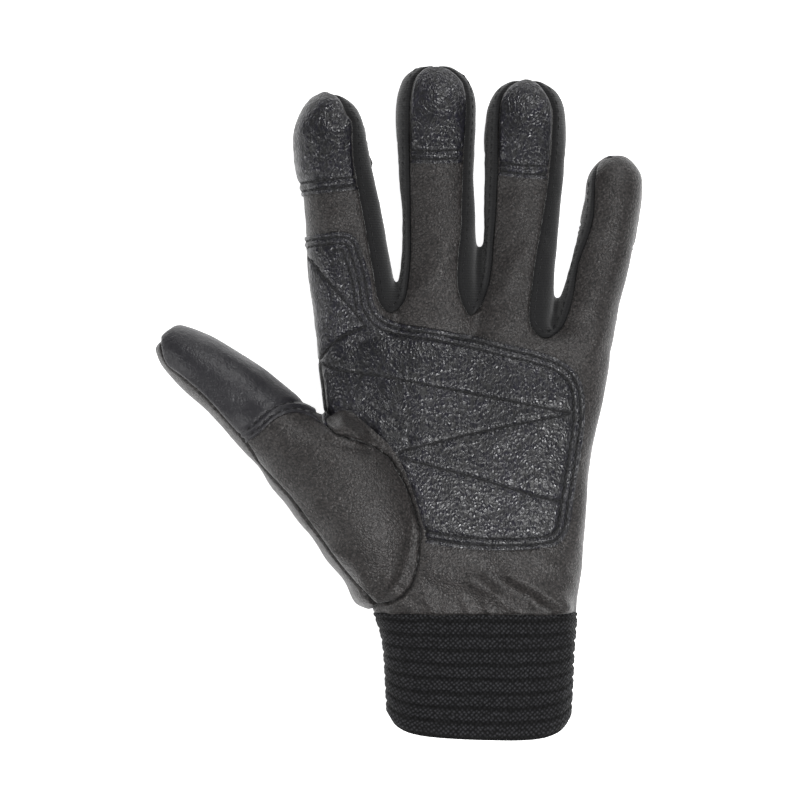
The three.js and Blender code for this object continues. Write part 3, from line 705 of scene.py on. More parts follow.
# Diagonal ribs 1.1 mm apart, broken into short floats of 0.9 mm, catch the light in dashes through their
# bump, and their tops are also painted lighter as highlight.
mesh_place = node(spacer, "TexCoord", {}, {}).outputs["Object"]
mesh_turn = node(spacer, "Mapping", {}, {"Vector": mesh_place, "Rotation": (0, 0, math.radians(35))})
mesh_ribs = node(spacer, "TexWave", {"bands_direction": "X"}, {
    "Vector": mesh_turn, "Scale": METRE / 1.1 * math.pi / 10, "Distortion": 2.2, "Detail": 2.0,
    "Detail Scale": 3.0,
})
mesh_floats = node(spacer, "TexVoronoi", {}, {"Vector": mesh_turn, "Scale": METRE / 0.9})
mesh_height = node(spacer, "Math", {"operation": "MULTIPLY"}, {0: mesh_ribs.outputs["Fac"], 1: mesh_floats})
mesh_bump = node(spacer, "Bump", {}, {"Height": mesh_height, "Strength": 0.9, "Distance": 0.3 / METRE})
# Painted highlight: the colour is lighter on the ribs' tops.
mesh_tint = node(spacer, "ValToRGB", {"ramp": [(0, "#0e0e10"), (0.6, "#2e2d31")]}, {"Fac": mesh_height})
fill(shader, {
    "Base Color": mesh_tint, "Normal": mesh_bump, "Roughness": 0.85,
    "Specular IOR Level": 0.3, "Sheen Weight": 0.2,
})

plain, shader = new_material("plain_polyester_knit")
# The flattest cloth of the glove: loops of 0.6 mm, in a tone that drifts over 12 mm.
plain_place = node(plain, "TexCoord", {}, {}).outputs["Object"]
plain_loops = node(plain, "TexVoronoi", {}, {"Vector": plain_place, "Scale": METRE / 0.6})
plain_tone = node(plain, "TexNoise", {}, {"Vector": plain_place, "Scale": METRE / 12, "Detail": 4.0})
plain_bump = node(plain, "Bump", {}, {"Height": plain_loops, "Strength": 0.5, "Distance": 0.12 / METRE})
plain_tint = node(plain, "ValToRGB", {"ramp": [(0, "#1c1c1e"), (1, "#29282b")]}, {"Fac": plain_tone})
fill(shader, {"Base Color": plain_tint, "Normal": plain_bump, "Roughness": 0.8, "Specular IOR Level": 0.3})

north = placed([(130, 140), (-130, 140)])
south = placed([(130, CUFF_TOP - 8), (-130, CUFF_TOP - 8)])
upper_back, rest_of_back = parted(back_faces, inside_of(np.vstack([curve(knuckle_top), north])))
lower_back, knuckle_faces = parted(rest_of_back, inside_of(np.vstack([curve(knuckle_bottom), south])))
back_panels = [
    ("back_upper", upper_back, spacer, "mesh_fabric"),
    ("knuckle_panel", knuckle_faces, plain, "knit_fabric"),
    ("back_lower", lower_back, spacer, "mesh_fabric"),
]
for name, faces, cloth, slot in back_panels:
    panel = turned_panel(name + "_cloth", faces, cloth, roll=0.7, width=1.3)
    attach(panel, slot, name)

# The palm patch
# A glazed black leather reinforcement, sewn on with two rows along its free edges and quilted to the palm
# with crossing lines, so that it puffs up between them. Its left end turns down the index finger's side.
patch_hem = [
    (7.6, -49.6), (18.6, -51.4), (33.8, -52.4), (47.8, -51.8), (54, -50.4), (57.4, -46), (59.6, -34),
    (61.8, -19.4), (63.4, -7.8), (62.8, 3.8), (60, 9.6), (55, 13.4), (47.5, 16.2), (36.3, 18.8), (25, 21.6),
    (11, 24.4), (-1.9, 26.6), (-7, 29), (-9.8, 33.4), (-11, 41), (-13.4, 49.4), (-16, 56), (-19.4, 58),
    (-40, 56.2),
]
patch_into_seam = [
    (-40, 20), (-36, 14), (-30, -1), (-26.6, -9), (-24.4, -6), (-21.6, -4.4), (-18.2, -4.6), (-14.8, -7),
    (-11.6, -10), (-8.2, -13), (-4.6, -16.6), (-1.4, -21.2), (2, -28.8), (4.2, -34.4), (6.2, -41.6),
    (7.4, -46),
]
# Rows that only pinch the patch down, where it turns down the finger's side.
patch_side_rows = [
    [(-33, 52.5), (-31.9, 42), (-30.3, 28), (-28.9, 13.2), (-27.4, 0), (-26.4, -7)],
    [(-27.8, 12.4), (-26.2, 1), (-25, -7.4)],
]
quilting = [
    [(-32.2, 49.6), (-25.4, 40.9), (-12.4, 25.6)],
    [(-28.6, 13.6), (-22.6, 20.4), (-18.2, 23.2), (-12.4, 25.6)],
    [(-28.6, 13.4), (-23.6, 10.6), (-8.2, 8.2), (26.2, 1.6), (58.4, -4.8)],
    [(58.2, -5.2), (30, -10.8), (-1, -18.2)],
    [(0.2, -20.6), (22.5, -26.4), (47.4, -33.8), (57, -35.8)],
]
PATCH_LOWEST = 0.06
PATCH_UNDERSIDE_LOWEST = 0.3
PATCH_GAP = 0.12
PATCH_THINNEST = 0.3
STITCH_PITCH = 2.9
STITCH_LENGTH = 2.35
THREAD_WIDTH = 0.5

glazed, shader = new_material("glazed_black_leather")
# Broken highlights on dark grain, from the lights and also painted into the colour. Its cells of 1.15 mm
# and lines of 1.7 mm, a little coarser than the real ones so that they show, are drawn out along one
# diagonal. The worn glaze keeps its shine on the ridges. The ridges are also painted lighter as highlight,
# and the creases and the stitch rows are painted darker as shade.
glazed_place = node(glazed, "TexCoord", {}, {}).outputs["Object"]
grain_bend = node(glazed, "TexNoise", {}, {"Vector": glazed_place, "Scale": METRE / 5, "Detail": 2.0})
grain_shift = node(glazed, "VectorMath", {"operation": "MULTIPLY_ADD"}, {
    0: grain_bend.outputs["Color"], 1: (0.002, 0.002, 0.002), 2: glazed_place,
})
grain_turn = node(glazed, "Mapping", {}, {
    "Vector": grain_shift, "Rotation": (0, 0, math.radians(-38)), "Scale": (1.0, 0.72, 1.0),
})
grain_cells = node(glazed, "TexVoronoi", {"feature": "DISTANCE_TO_EDGE"}, {
    "Vector": grain_turn, "Scale": METRE / 1.15,
})
grain_lines = node(glazed, "TexNoise", {}, {"Vector": grain_turn, "Scale": METRE / 1.7, "Detail": 1.5})
grain_height = node(glazed, "Math", {"operation": "MULTIPLY_ADD"}, {0: grain_cells, 1: 1.0, 2: grain_lines})
grain_bump = node(glazed, "Bump", {}, {"Height": grain_height, "Strength": 1.0, "Distance": 0.33 / METRE})
glazed_tone = node(glazed, "TexNoise", {}, {"Vector": glazed_place, "Scale": METRE / 22, "Detail": 4.0})
glazed_tint = node(glazed, "ValToRGB", {"ramp": [(0.3, "#0d0d12"), (0.7, "#18171e")]}, {"Fac": glazed_tone})
# Painted light on the grain: the creases between the cells are darkened as shade, and the ridges are
# lightened up to 2.4 times as highlight.
grain_painted_light = node(glazed, "MapRange", {}, {
    "Value": grain_height, "From Min": 0.4, "From Max": 1.0, "To Min": 0.1, "To Max": 2.4,
})
patch_row = node(glazed, "Attribute", {"attribute_name": "row_distance"}, {})
# Painted shade: the colour darkens along the stitch rows, where they pinch the patch down.
row_shade = node(glazed, "MapRange", {}, {
    "Value": patch_row.outputs["Fac"], "From Min": 0.15, "From Max": 0.6, "To Min": 0.15, "To Max": 1.0,
})
glaze_shade = node(glazed, "Math", {"operation": "MULTIPLY"}, {0: grain_painted_light, 1: row_shade})
glazed_colour = node(glazed, "VectorMath", {"operation": "SCALE"}, {0: glazed_tint, "Scale": glaze_shade})
glazed_gloss = node(glazed, "MapRange", {}, {
    "Value": grain_height, "From Min": 0.4, "From Max": 0.9, "To Min": 0.5, "To Max": 0.28,
})
row_matt = node(glazed, "MapRange", {}, {
    "Value": patch_row.outputs["Fac"], "From Min": 0.15, "From Max": 0.6, "To Min": 0.5, "To Max": 0.0,
})
glaze_matt = node(glazed, "Math", {"operation": "ADD"}, {0: glazed_gloss, 1: row_matt})
fill(shader, {
    "Base Color": glazed_colour, "Roughness": glaze_matt,
    "Normal": grain_bump, "Specular IOR Level": 0.6,
})

thread, shader = new_material("bonded_polyester_thread")
# Waxed black thread, about half a millimetre thick, a little shinier than the cloth.
thread_place = node(thread, "TexCoord", {}, {}).outputs["Object"]
thread_ply = node(thread, "TexNoise", {}, {"Vector": thread_place, "Scale": METRE / 0.5})
thread_bump = node(thread, "Bump", {}, {"Height": thread_ply, "Strength": 0.5, "Distance": 0.1 / METRE})
thread_tint = node(thread, "ValToRGB", {"ramp": [(0, "#08080a"), (1, "#131315")]}, {"Fac": thread_ply})
fill(shader, {"Base Color": thread_tint, "Normal": thread_bump, "Roughness": 0.55})


def finer(sheet, faces):
    """Each triangle split into four."""
    pairs = np.concatenate([faces[:, [0, 1]], faces[:, [1, 2]], faces[:, [2, 0]]])
    ends, back = np.unique(np.sort(pairs, axis=1), axis=0, return_inverse=True)
    middle = len(sheet["points"]) + back.ravel().reshape(3, -1)
    for key, values in sheet.items():
        sheet[key] = np.concatenate([values, (values[ends[:, 0]] + values[ends[:, 1]]) / 2])
    a, b, c = faces.T
    ab, bc, ca = middle
    return np.concatenate([np.stack(t, 1) for t in ((a, ab, ca), (ab, b, bc), (ca, bc, c), (ab, bc, ca))])


def beside(line, distance, measure):
    """A line at a distance from another, on the inner side of the measure."""
    way = np.gradient(line, axis=0)
    way /= np.linalg.norm(way, axis=1, keepdims=True)
    across = np.stack([-way[:, 1], way[:, 0]], axis=1)
    middle = len(line) // 2
    side = measure(np.array([[*(line[middle] + across[middle]), 0.0]]))[0]
    moved = line + across * (distance if side < 0 else -distance)
    away, _ = nearest(moved, line)
    return moved[away > distance * 0.97]


def sewn_on(name, faces, rows, hem, material, puff=0.42, reach=1.05, thickness=0.9, grain=0.1, catch=0.9,
            crumple=0.4):
    """A patch sewn over the skin. It is pinched down along its rows of stitches and puffs up between them.

    Its hem is a cut edge that lies on the skin, and its other edges are caught in the seams beside it."""
    sheet, faces = own_sheet(faces)
    faces = finer(sheet, faces)
    points = sheet["points"]
    to_rim = rim_distance(points, faces)
    rim = np.unique(rim_of(faces))
    caught = rim[nearest(points[rim], hem)[0] > 0.8]
    to_seam = gap_to(points[caught], points)
    to_row = np.full(len(points), 99.0)
    pinch = np.zeros(len(points))
    for row in rows:
        away, along = nearest(points, row)
        closer = away < to_row
        to_row = np.where(closer, away, to_row)
        pinch = np.where(closer, np.cos(2 * np.pi * along / STITCH_PITCH), pinch)
    rise = puff * (1 - bell(to_row, reach)) * (1 - 0.16 * pinch * bell(to_row, 1.6))
    rise -= 0.3 * bell(to_row, 0.45)
    rise -= 0.4 * bell(to_rim, 0.5)
    rise -= (thickness + 0.5) * bell(to_seam, catch)
    rise += grain * (0.8 * ripple(points, 2.2, 4.2) + ripple(points, 5.5, 8.8))
    rise += crumple * ripple(points, 7, 1.7, (1, 0.8, 1)) * np.clip(to_rim / 2, 0, 1)
    top = points + sheet["normals"] * (thickness + rise)[:, None]
    top[:, 2] = np.maximum(top[:, 2], PATCH_LOWEST)
    gap = np.minimum(PATCH_GAP, thickness + rise - PATCH_THINNEST)
    floor_side = points + sheet["normals"] * gap[:, None]
    floor_side[:, 2] = np.maximum(floor_side[:, 2], PATCH_UNDERSIDE_LOWEST)
    fields = {"seam_distance": to_rim, "row_distance": to_row}
    piece = closed(name, top, floor_side, faces, material, fields, 60)
    return piece, BVHTree.FromPolygons(top.tolist(), faces.tolist())


STITCH_RINGS = 7
STITCH_SIDES = 6


def tube_faces(rings, around, start=0):
    """The triangles round a tube of rings of points."""
    faces = []
    for r in range(rings - 1):
        for i in range(around):
            a = start + r * around + i
            b = start + r * around + (i + 1) % around
            faces += [(a, b, b + around), (a, b + around, a + around)]
    return faces


def stitched(name, rows, surface, side=1, width=THREAD_WIDTH):
    """Rows of stitches on a surface, seen from above (side 1) or from below (side -1)."""
    offsets = np.linspace(-1, 1, STITCH_RINGS)
    turns = np.arange(STITCH_SIDES) * math.pi / 3
    points = []
    faces = []
    for row in rows:
        steps = np.linalg.norm(np.diff(row, axis=0), axis=1)
        run = np.concatenate([[0], np.cumsum(steps)])
        for k in range(int(run[-1] / STITCH_PITCH)):
            centre = (k + 0.5) * STITCH_PITCH
            at = centre + offsets * STITCH_LENGTH / 2
            x = np.interp(at, run, row[:, 0])
            y = np.interp(at, run, row[:, 1])
            hits = [surface.ray_cast(Vector((a, b, side * 80)),
                    Vector((0, 0, -side))) for a, b in zip(x, y)]
            if any(hit[0] is None or side * hit[1].z < 0.08 for hit in hits):
                continue
            places = [hit[0] for hit in hits]
            normal = hits[STITCH_RINGS // 2][1].normalized()
            way = (places[-1] - places[0]).normalized()
            across = way.cross(normal).normalized()
            base = len(points)
            for place, u in zip(places, offsets):
                radius = width / 2 * math.sqrt(max(1 - abs(u) ** 3, 0.12))
                middle = place + normal * (0.22 - 0.42 * u * u)
                for turn in turns:
                    wide = across * (radius * math.cos(turn))
                    points.append(middle + wide + normal * (radius * 0.8 * math.sin(turn)))
            faces += tube_faces(STITCH_RINGS, STITCH_SIDES, base)
            for start, order in ((base, -1), (base + (STITCH_RINGS - 1) * STITCH_SIDES, 1)):
                for i in range(1, STITCH_SIDES - 1):
                    faces.append((start, start + i, start + i + 1)[::order])
    array = np.array([tuple(p) for p in points])
    attach(built(name, array, np.array(faces), thread, {}, 180), "stretch_fabric")


def held_patch(name, slot, hem, rest, half, offsets, material, side=1, **form):
    """A patch of one half of the hand, held by rows of stitches at some offsets from its hem."""
    measure = inside_of(np.vstack([hem, rest]))
    faces, _ = parted(half, measure)
    rows = [beside(hem, offset, measure) for offset in offsets]
    piece, face = sewn_on(name + "_leather", faces, rows, hem, material, **form)
    attach(piece, slot, name)
    stitched(name + "_stitches", rows, face, side)


for between, (seam, fourchette) in fourchette_tops.items():
    strip_mesh = fourchette.data
    strip_points = [tuple(v.co * METRE) for v in strip_mesh.vertices]
    strip_top = BVHTree.FromPolygons(strip_points, [tuple(p.vertices) for p in strip_mesh.polygons])
    strip_rows = [beside(curve(seam), 1.5, inside_of(curve(seam)))]
    stitched("fourchette_" + between + "_stitches", strip_rows, strip_top, width=0.42)

patch_outline = np.vstack([curve(patch_hem), curve(patch_into_seam)])
patch_measure = inside_of(patch_outline)
patch_faces, _ = parted(upper_hand, patch_measure)
hem_line = curve(patch_hem)
patch_rows = [beside(hem_line, 1.6, patch_measure), beside(hem_line, 3.9, patch_measure)]
third_row = beside(hem_line, 6.1, patch_measure)
index_side = (third_row[:, 1] > 31) & (third_row[:, 0] > -24)
patch_rows.append(third_row[index_side])
side_rows = [curve(line) for line in patch_side_rows]
patch_rows += [curve(line) for line in quilting]
palm_patch, patch_top = sewn_on(
    "palm_patch_leather", patch_faces, patch_rows + side_rows, hem_line, glazed, catch=1.5,
)
attach(palm_patch, "grained_patch_leather", "palm_patch")
stitched("palm_patch_stitches", patch_rows, patch_top)

# The fingertip patches
# Three pieces of the same glazed leather over the tips, caught in the finger seams at both sides and sewn
# down with two rows across the finger.
tip_patches = {
    "index": {
        "sides": [
            (-14.8, 73.4), (-16.4, 80), (-17.2, 90), (-17.6, 97.6), (-19.6, 100), (-20.3, 102.8),
            (-22.4, 106), (-26, 107.3), (-29.8, 106.3), (-33, 103.6), (-35.6, 99.8), (-42, 99.6),
        ],
        "hem": [(-42, 71), (-26, 72.2), (-14.8, 73.4)],
    },
    "middle": {
        "sides": [
            (21.7, 82.8), (22.6, 104.4), (21.5, 110.5), (19, 113.6), (15.9, 115.9), (12, 116.7),
            (8.5, 116.1), (5.1, 113), (3.4, 107.6), (2.8, 101), (2.8, 82.6),
        ],
        "hem": [(2.8, 82.6), (12, 82.3), (21.7, 82.8)],
    },
    "ring": {
        "sides": [
            (51.3, 77), (52.8, 97.8), (52.4, 102.5), (50.5, 107.3), (47.5, 110.8), (44, 111.9),
            (40.6, 111.3), (37.7, 109.4), (35, 105.2), (34.2, 100.6), (33.6, 78.4),
        ],
        "hem": [(33.6, 78.4), (42, 77.3), (51.3, 77)],
    },
}
for finger, lines in tip_patches.items():
    held_patch(
        "tip_patch_" + finger, "grained_patch_leather", curve(lines["hem"]), curve(lines["sides"]),
        upper_hand, (1.5, 4.4), glazed, reach=1.3, thickness=0.75, crumple=0.5,
    )

# The thumb cap
# A smooth black leather cap over the ball of the thumb. It is caught in the long seam at its outer side,
# and two rows hold its lower edge.
cap_edge = [(-54.6, -15.4), (-49.8, -12.2), (-43.4, -6.6), (-37.8, -4.6), (-33.4, -5.4), (-27.8, -8.6)]
cap_surround = [(-30.2, -3), (-37, 13), (-60, 46), (-96, 40)]
smooth, shader = new_material("smooth_finished_leather")
# A satin finish with long soft highlights. The real pores are too fine to show, so they are drawn 1 mm
# across, with soft lines of 1.5 mm.
smooth_place = node(smooth, "TexCoord", {}, {}).outputs["Object"]
pores = node(smooth, "TexVoronoi", {"feature": "DISTANCE_TO_EDGE"}, {
    "Vector": smooth_place, "Scale": METRE / 1.0,
})
soft_lines = node(smooth, "TexNoise", {}, {"Vector": smooth_place, "Scale": METRE / 1.5, "Detail": 1.5})
smooth_height = node(smooth, "Math", {"operation": "MULTIPLY_ADD"}, {0: soft_lines, 1: 1.6, 2: pores})
smooth_bump = node(smooth, "Bump", {}, {"Height": smooth_height, "Strength": 1.0, "Distance": 0.15 / METRE})
smooth_tone = node(smooth, "TexNoise", {}, {"Vector": smooth_place, "Scale": METRE / 18, "Detail": 4.0})
smooth_tint = node(smooth, "ValToRGB", {"ramp": [(0, "#1b1a1e"), (1, "#29282c")]}, {"Fac": smooth_tone})
smooth_gloss = node(smooth, "MapRange", {}, {"Value": soft_lines, "To Min": 0.42, "To Max": 0.54})
fill(shader, {
    "Base Color": smooth_tint, "Roughness": smooth_gloss,
    "Normal": smooth_bump, "Specular IOR Level": 0.5,
})

cap_rest = np.vstack([placed(cap_surround), curve(thumb_long_seam[:7])])
held_patch(
    "thumb_cap", "smooth_cap_leather", curve(cap_edge), cap_rest,
    upper_hand, (1.5, 3.6), smooth, puff=0.35, thickness=0.65, grain=0.06, crumple=0.2,
)

# The leather on the back
# Fingertip caps over the middle, ring and little finger, and a panel that runs along the outer side of the
# index finger, of the same leather as the palm. Each is held by two rows along its free edge.
back_leathers = {
    "back_cap_middle": {
        "hem": [(-10, 87), (2, 87), (22, 88), (27.6, 88)],
        "round": [(27.6, 126), (-10, 126)],
    },
    "back_cap_ring": {
        "hem": [(27.8, 83), (34, 83.4), (54, 81.8), (62, 81.8)],
        "round": [(62, 124), (27.8, 124)],
    },
    "back_cap_little": {
        "hem": [(58, 61), (64, 57.8), (79, 51.4), (96, 46)],
        "round": [(96, 96), (58, 96)],
    },
    "side_panel": {
        "hem": [
            (-11, 118), (-11, 90), (-11, 82), (-13.8, 79.8), (-21.4, 73.4), (-26.2, 67), (-28.4, 59.4),
            (-28.8, 49.8), (-27.4, 34), (-25.8, 14), (-24.4, 0), (-25.6, -3.6), (-50, -3),
        ],
        "round": [(-50, -3), (-50, 118)],
    },
}
for name, lines in back_leathers.items():
    held_patch(
        name, "synthetic_leather", curve(lines["hem"]), placed(lines["round"]),
        lower_hand, (1.4, 3.2), pebbled, -1, puff=0.25, thickness=0.7, grain=0.02, catch=2.4,
    )

# The piping
# A red coated cord, 2 mm thick, caught in the seam under the knuckle band.
CORD_RADIUS = 1.0
CORD_SIDES = 12
coated, shader = new_material("red_coated_cord")
# The coating follows the braid below it, with a pitch of 1 mm, and has a soft shine.
cord_place = node(coated, "TexCoord", {}, {}).outputs["Object"]
braid = node(coated, "TexWave", {"bands_direction": "DIAGONAL"}, {
    "Vector": cord_place, "Scale": METRE / 1.0 * math.pi / 10, "Distortion": 0.6,
})
cord_bump = node(coated, "Bump", {}, {
    "Height": braid.outputs["Fac"], "Strength": 0.4, "Distance": 0.08 / METRE,
})
cord_tint = node(coated, "ValToRGB", {"ramp": [(0, "#c3262b"), (1, "#dc3339")]}, {
    "Fac": braid.outputs["Fac"],
})
fill(shader, {"Base Color": cord_tint, "Normal": cord_bump, "Roughness": 0.42})

skin = BVHTree.FromPolygons(form["points"].tolist(), whole.tolist())
cord_line = curve(knuckle_bottom, 0.8)
cord_route = []
for x, y in cord_line[cord_line[:, 0] > -22.5]:
    place, normal, _, _ = skin.ray_cast(Vector((x, y, -20)), Vector((0, 0, 1)))
    if place is not None and normal.z < -0.25:
        cord_route.append((place, normal))
turning = cord_route[-1][0]
for angle in np.radians(np.arange(60, 35, -12)):
    way = Vector((math.cos(angle), 0, -math.sin(angle)))
    place, normal, _, _ = skin.ray_cast(Vector((turning.x - 6, turning.y, 8.4)), way)
    if place is not None and place.x > cord_route[-1][0].x + 0.3:
        cord_route.append((place, normal))
cord_points = []
for k, (place, normal) in enumerate(cord_route):
    before = cord_route[max(k - 1, 0)][0]
    after = cord_route[min(k + 1, len(cord_route) - 1)][0]
    across = (after - before).normalized().cross(normal).normalized()
    middle = place + normal * (0.15 - 1.1 * max(0, 1 - (len(cord_route) - 1 - k) / 4))
    for turn in range(CORD_SIDES):
        angle = turn * 2 * math.pi / CORD_SIDES
        cord_points.append(middle + (across * math.cos(angle) + normal * math.sin(angle)) * CORD_RADIUS)
cord_faces = tube_faces(len(cord_route), CORD_SIDES)
last = len(cord_points) - CORD_SIDES
for i in range(1, CORD_SIDES - 1):
    cord_faces += [(0, i + 1, i), (last, last + i, last + i + 1)]
piping = built(
    "piping_cord", np.array([tuple(p) for p in cord_points]), np.array(cord_faces), coated, {}, 180,
)
attach(piping, "piping_cord", "piping")

# The cuff
# A tube of black ribbed elastic, 2 mm thick. Rubber threads draw it in every 5 mm, and less halfway
# between, so that flat bands stand between narrow grooves. Its top edge is sewn over the leather's gathers.
RIB_PITCH = 5.0
FIRST_GROOVE = 2.6
GROOVE_DEPTH, GROOVE_WIDTH = 0.42, 0.8
HALFWAY_SHARE, HALFWAY_WIDTH = 0.35, 0.5  # of the shallow groove halfway between two
CUFF_SWELL, CUFF_WALL = 0.5, 1.6
CUFF_LOWEST = 2.35
cuff_rim = [
    (-30, -109), (-8, -109.2), (-5.8, -110), (-4.2, -112), (-2.2, -113.9), (1, -115.6), (5.4, -116.8),
    (14, -117.7), (30, -118.4), (44, -118.4), (51, -117.5), (55.4, -115.8), (58, -113.6), (59.6, -111),
    (62, -109.2), (80, -109),
]
CUFF_AROUND = 220
CUFF_STEP = 0.5
elastic, shader = new_material("ribbed_elastic_twill")
# A twill of light dots, 1.2 mm apart, that climbs round the wrist at 45 degrees. The grooves are painted
# darker as shade.
round_wrist = node(elastic, "Attribute", {"attribute_name": "around"}, {})
down_wrist = node(elastic, "Attribute", {"attribute_name": "down"}, {})
groove_depth = node(elastic, "Attribute", {"attribute_name": "groove"}, {})
cuff_place = node(elastic, "CombineXYZ", {}, {
    "X": round_wrist.outputs["Fac"], "Y": down_wrist.outputs["Fac"],
})
twill_turn = node(elastic, "Mapping", {}, {"Vector": cuff_place, "Rotation": (0, 0, math.radians(45))})
twill = node(elastic, "TexVoronoi", {}, {"Vector": twill_turn, "Scale": 1 / 1.2, "Randomness": 0.3})
twill_lines = node(elastic, "TexWave", {"bands_direction": "X"}, {
    "Vector": twill_turn, "Scale": 1 / 1.1 * math.pi / 10, "Distortion": 0.8,
})
twill_dots_base = node(elastic, "Math", {"operation": "MULTIPLY_ADD"}, {
    0: twill_lines.outputs["Fac"], 1: 0.1, 2: 0.9,
})
twill_height = node(elastic, "Math", {"operation": "MULTIPLY_ADD"}, {0: twill, 1: -1.9, 2: twill_dots_base})
twill_bump = node(elastic, "Bump", {}, {"Height": twill_height, "Strength": 1.0, "Distance": 0.3 / METRE})
twill_tint = node(elastic, "ValToRGB", {"ramp": [(0, "#070708"), (0.8, "#39393c")]}, {"Fac": twill_height})
# Painted shade: the colour darkens to a quarter in the grooves.
groove_shade = node(elastic, "MapRange", {}, {
    "Value": groove_depth.outputs["Fac"], "To Min": 1.0, "To Max": 0.25,
})
twill_shaded = node(elastic, "VectorMath", {"operation": "SCALE"}, {0: twill_tint, "Scale": groove_shade})
fill(shader, {
    "Base Color": twill_shaded, "Normal": twill_bump, "Roughness": 0.8,
    "Specular IOR Level": 0.2, "Sheen Weight": 0.02,
})

smooth_palm_rows = through(palm_rows, 1.0)
cuff_turns = 2 * np.pi * np.arange(CUFF_AROUND) / CUFF_AROUND
rim_line = through(cuff_rim, 0.6)
cuff_length = CUFF_TOP - rim_line[:, 1].min()
cuff_rows = np.arange(0, cuff_length + CUFF_STEP, CUFF_STEP)
outer_rings = []
inner_rings = []
fields = {"around": [], "down": [], "groove": []}
for down in cuff_rows:
    share = down / cuff_rows[-1]
    at = CUFF_TOP - down
    row = [at] + [np.interp(at, smooth_palm_rows[:, 0], smooth_palm_rows[:, k]) for k in range(1, 5)]
    side, height = section(row, palm_shape, cuff_turns)
    rim_y = np.interp(side, rim_line[:, 0], rim_line[:, 1])
    y = CUFF_TOP + 0.9 + (rim_y - CUFF_TOP - 0.9) * share
    flat = np.stack([side, height], axis=1)
    way = np.roll(flat, -1, axis=0) - np.roll(flat, 1, axis=0)
    out = np.stack([way[:, 1], -way[:, 0]], axis=1) / np.linalg.norm(way, axis=1, keepdims=True)
    wander = down - FIRST_GROOVE + 0.45 * ripple(np.stack([side, height, y], axis=1), 9, 6.6)
    to_groove = wander - RIB_PITCH * np.round(wander / RIB_PITCH)
    to_thread = wander - RIB_PITCH / 2 * np.round(wander / RIB_PITCH * 2)
    groove = bell(to_groove, GROOVE_WIDTH) + HALFWAY_SHARE * bell(to_thread, HALFWAY_WIDTH)
    edge_roll = math.exp(-(down / 0.7) ** 2) + math.exp(-((cuff_rows[-1] - down) / 0.7) ** 2)
    pull = ripple(np.stack([side, y, height], axis=1), 5.5, 2.2, (1, 0.35, 1))
    swell = CUFF_SWELL - GROOVE_DEPTH * groove - 0.8 * edge_roll + pull * (0.3 + 0.25 * groove)
    outer = flat + out * swell[:, None]
    inner = flat - out * (CUFF_WALL - 0.5 * edge_roll)
    outer_rings.append(np.stack([outer[:, 0], y, outer[:, 1]], axis=1))
    inner_rings.append(np.stack([inner[:, 0], y, inner[:, 1]], axis=1))
    arc = np.concatenate([[0], np.cumsum(np.linalg.norm(np.diff(flat, axis=0), axis=1))])
    fields["around"].append(arc)
    fields["down"].append(np.full(CUFF_AROUND, down))
    fields["groove"].append(groove)
cuff_points = np.vstack(outer_rings + inner_rings)
ring_count = len(cuff_rows)
cuff_faces = np.array(tube_faces(ring_count, CUFF_AROUND))
inner_start = ring_count * CUFF_AROUND
round_edges = [cuff_faces, cuff_faces[:, ::-1] + inner_start]
for r, order in ((0, -1), (ring_count - 1, 1)):
    a = r * CUFF_AROUND + np.arange(CUFF_AROUND)
    b = r * CUFF_AROUND + np.roll(np.arange(CUFF_AROUND), -1)
    round_edges.append(np.stack([a, b, b + inner_start], 1)[:, ::order])
    round_edges.append(np.stack([a, b + inner_start, a + inner_start], 1)[:, ::order])
cuff_points[:, 2] = np.maximum(cuff_points[:, 2], CUFF_LOWEST)
fields = {key: np.concatenate(values + values) for key, values in fields.items()}
cuff = built("cuff_elastic", cuff_points + CENTRE, np.concatenate(round_edges), elastic, fields, 60)
attach(cuff, "ribbed_elastic", "cuff")

# The closure tab
# A hook-and-loop tab on the back of the cuff: a leather flap with a bound edge, closed flat. Its face
# carries a plain badge of moulded rubber.
strap_outline = [
    (74, -82), (63.4, -81.8), (44, -83.4), (26.4, -85.8), (16, -90.4), (11, -97.2), (10, -104.6),
    (12.6, -111.4), (17.6, -116.2), (24.8, -118.6), (43, -116.8), (62.8, -114.6), (74, -113.4),
]
BINDING_WIDTH = 4.3
BADGE_MARGIN = 1.2
STRAP_LOWEST = 0.03
strap_level = 5.2

tape, shader = new_material("folded_binding_tape")
# A close twill of 0.8 mm with a slight shine from wear.
tape_place = node(tape, "TexCoord", {}, {}).outputs["Object"]
tape_weave = node(tape, "TexWave", {"bands_direction": "DIAGONAL"}, {
    "Vector": tape_place, "Scale": METRE / 0.8 * math.pi / 10, "Distortion": 1.0,
})
tape_tone = node(tape, "TexNoise", {}, {"Vector": tape_place, "Scale": METRE / 9, "Detail": 4.0})
tape_bump = node(tape, "Bump", {}, {
    "Height": tape_weave.outputs["Fac"], "Strength": 0.6, "Distance": 0.1 / METRE,
})
tape_tint = node(tape, "ValToRGB", {"ramp": [(0, "#38363a"), (1, "#545155")]}, {"Fac": tape_tone})
fill(shader, {"Base Color": tape_tint, "Normal": tape_bump, "Roughness": 0.5})

rubber, shader = new_material("moulded_grey_rubber")
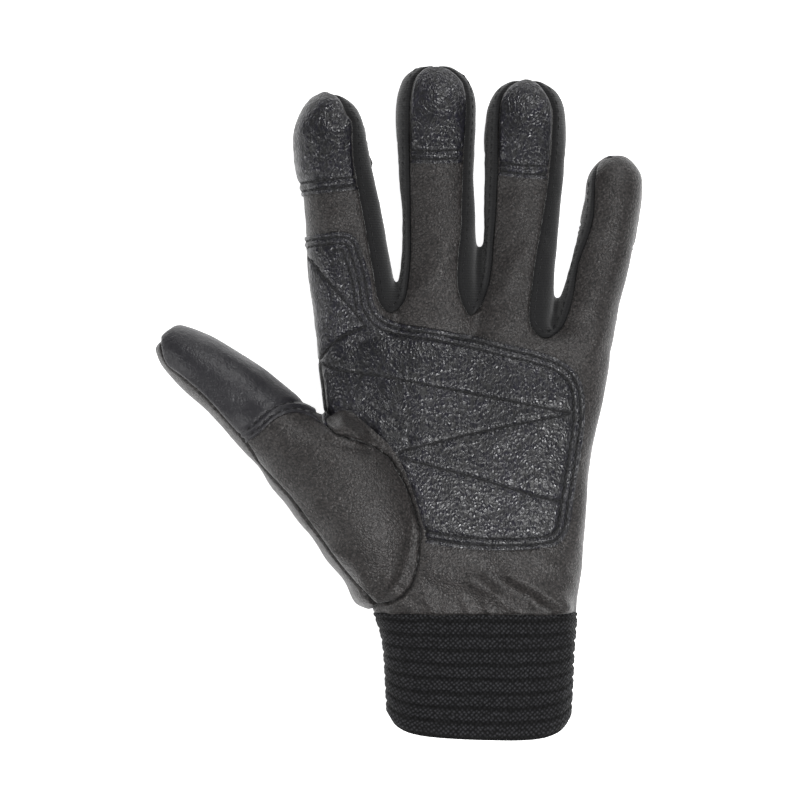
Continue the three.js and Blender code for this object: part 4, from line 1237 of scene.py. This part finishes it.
# A satin skin with a fine texture of 0.5 mm from the mould.
rubber_place = node(rubber, "TexCoord", {}, {}).outputs["Object"]
rubber_grain = node(rubber, "TexNoise", {}, {"Vector": rubber_place, "Scale": METRE / 0.5, "Detail": 3.0})
rubber_tone = node(rubber, "TexNoise", {}, {"Vector": rubber_place, "Scale": METRE / 15, "Detail": 4.0})
rubber_bump = node(rubber, "Bump", {}, {"Height": rubber_grain, "Strength": 0.4, "Distance": 0.06 / METRE})
rubber_tint = node(rubber, "ValToRGB", {"ramp": [(0, "#6b7071"), (1, "#7c8182")]}, {"Fac": rubber_tone})
fill(shader, {"Base Color": rubber_tint, "Normal": rubber_bump, "Roughness": 0.45})

wrist_form, _ = parted(whole, below(CUFF_TOP + 1 + CENTRE[1], 1))
wrist_form, _ = parted(wrist_form, below(strap_level))
strap_line = curve(strap_outline)
strap_measure = inside_of(strap_line)
strap_faces, _ = parted(wrist_form, strap_measure)
closed_line = np.vstack([strap_line, strap_line[:1]])


def strap_layer(name, low, high, least, most, material, rounding):
    """One layer of the tab between two distances from its outline, lifted off the skin from low to high."""
    inner, _ = parted(strap_faces, lambda p: least - nearest(p, closed_line)[0])
    if most:
        inner, _ = parted(inner, lambda p: nearest(p, closed_line)[0] - most)
    sheet, faces = own_sheet(inner)
    faces = finer(sheet, faces)
    away = rim_distance(sheet["points"], faces)
    top = sheet["points"] + sheet["normals"] * (high - rounding * bell(away, 0.8))[:, None]
    top[:, 2] = np.maximum(top[:, 2], STRAP_LOWEST)
    under = top - sheet["normals"] * (high - low - rounding * 0.5)
    piece = closed(name, top, under, faces, material, {"seam_distance": away})
    return piece, BVHTree.FromPolygons(top.tolist(), faces.tolist())


flap, _ = strap_layer("wrist_strap_leather", 1.0, 2.2, BINDING_WIDTH - 0.8, 0, pebbled, 0.1)
attach(flap, "strap_leather", "wrist_strap")
binding, binding_face = strap_layer("strap_binding_tape", 0.8, 2.5, 0, BINDING_WIDTH, tape, 0.6)
attach(binding, "binding_tape", "strap_binding")
badge, _ = strap_layer("strap_badge_rubber", 2.2, 2.95, BINDING_WIDTH + BADGE_MARGIN, 0, rubber, 0.25)
attach(badge, "badge_rubber", "strap_badge")
binding_rows = [beside(strap_line, BINDING_WIDTH - 1.0, strap_measure)]
stitched("strap_binding_stitches", binding_rows, binding_face, -1)
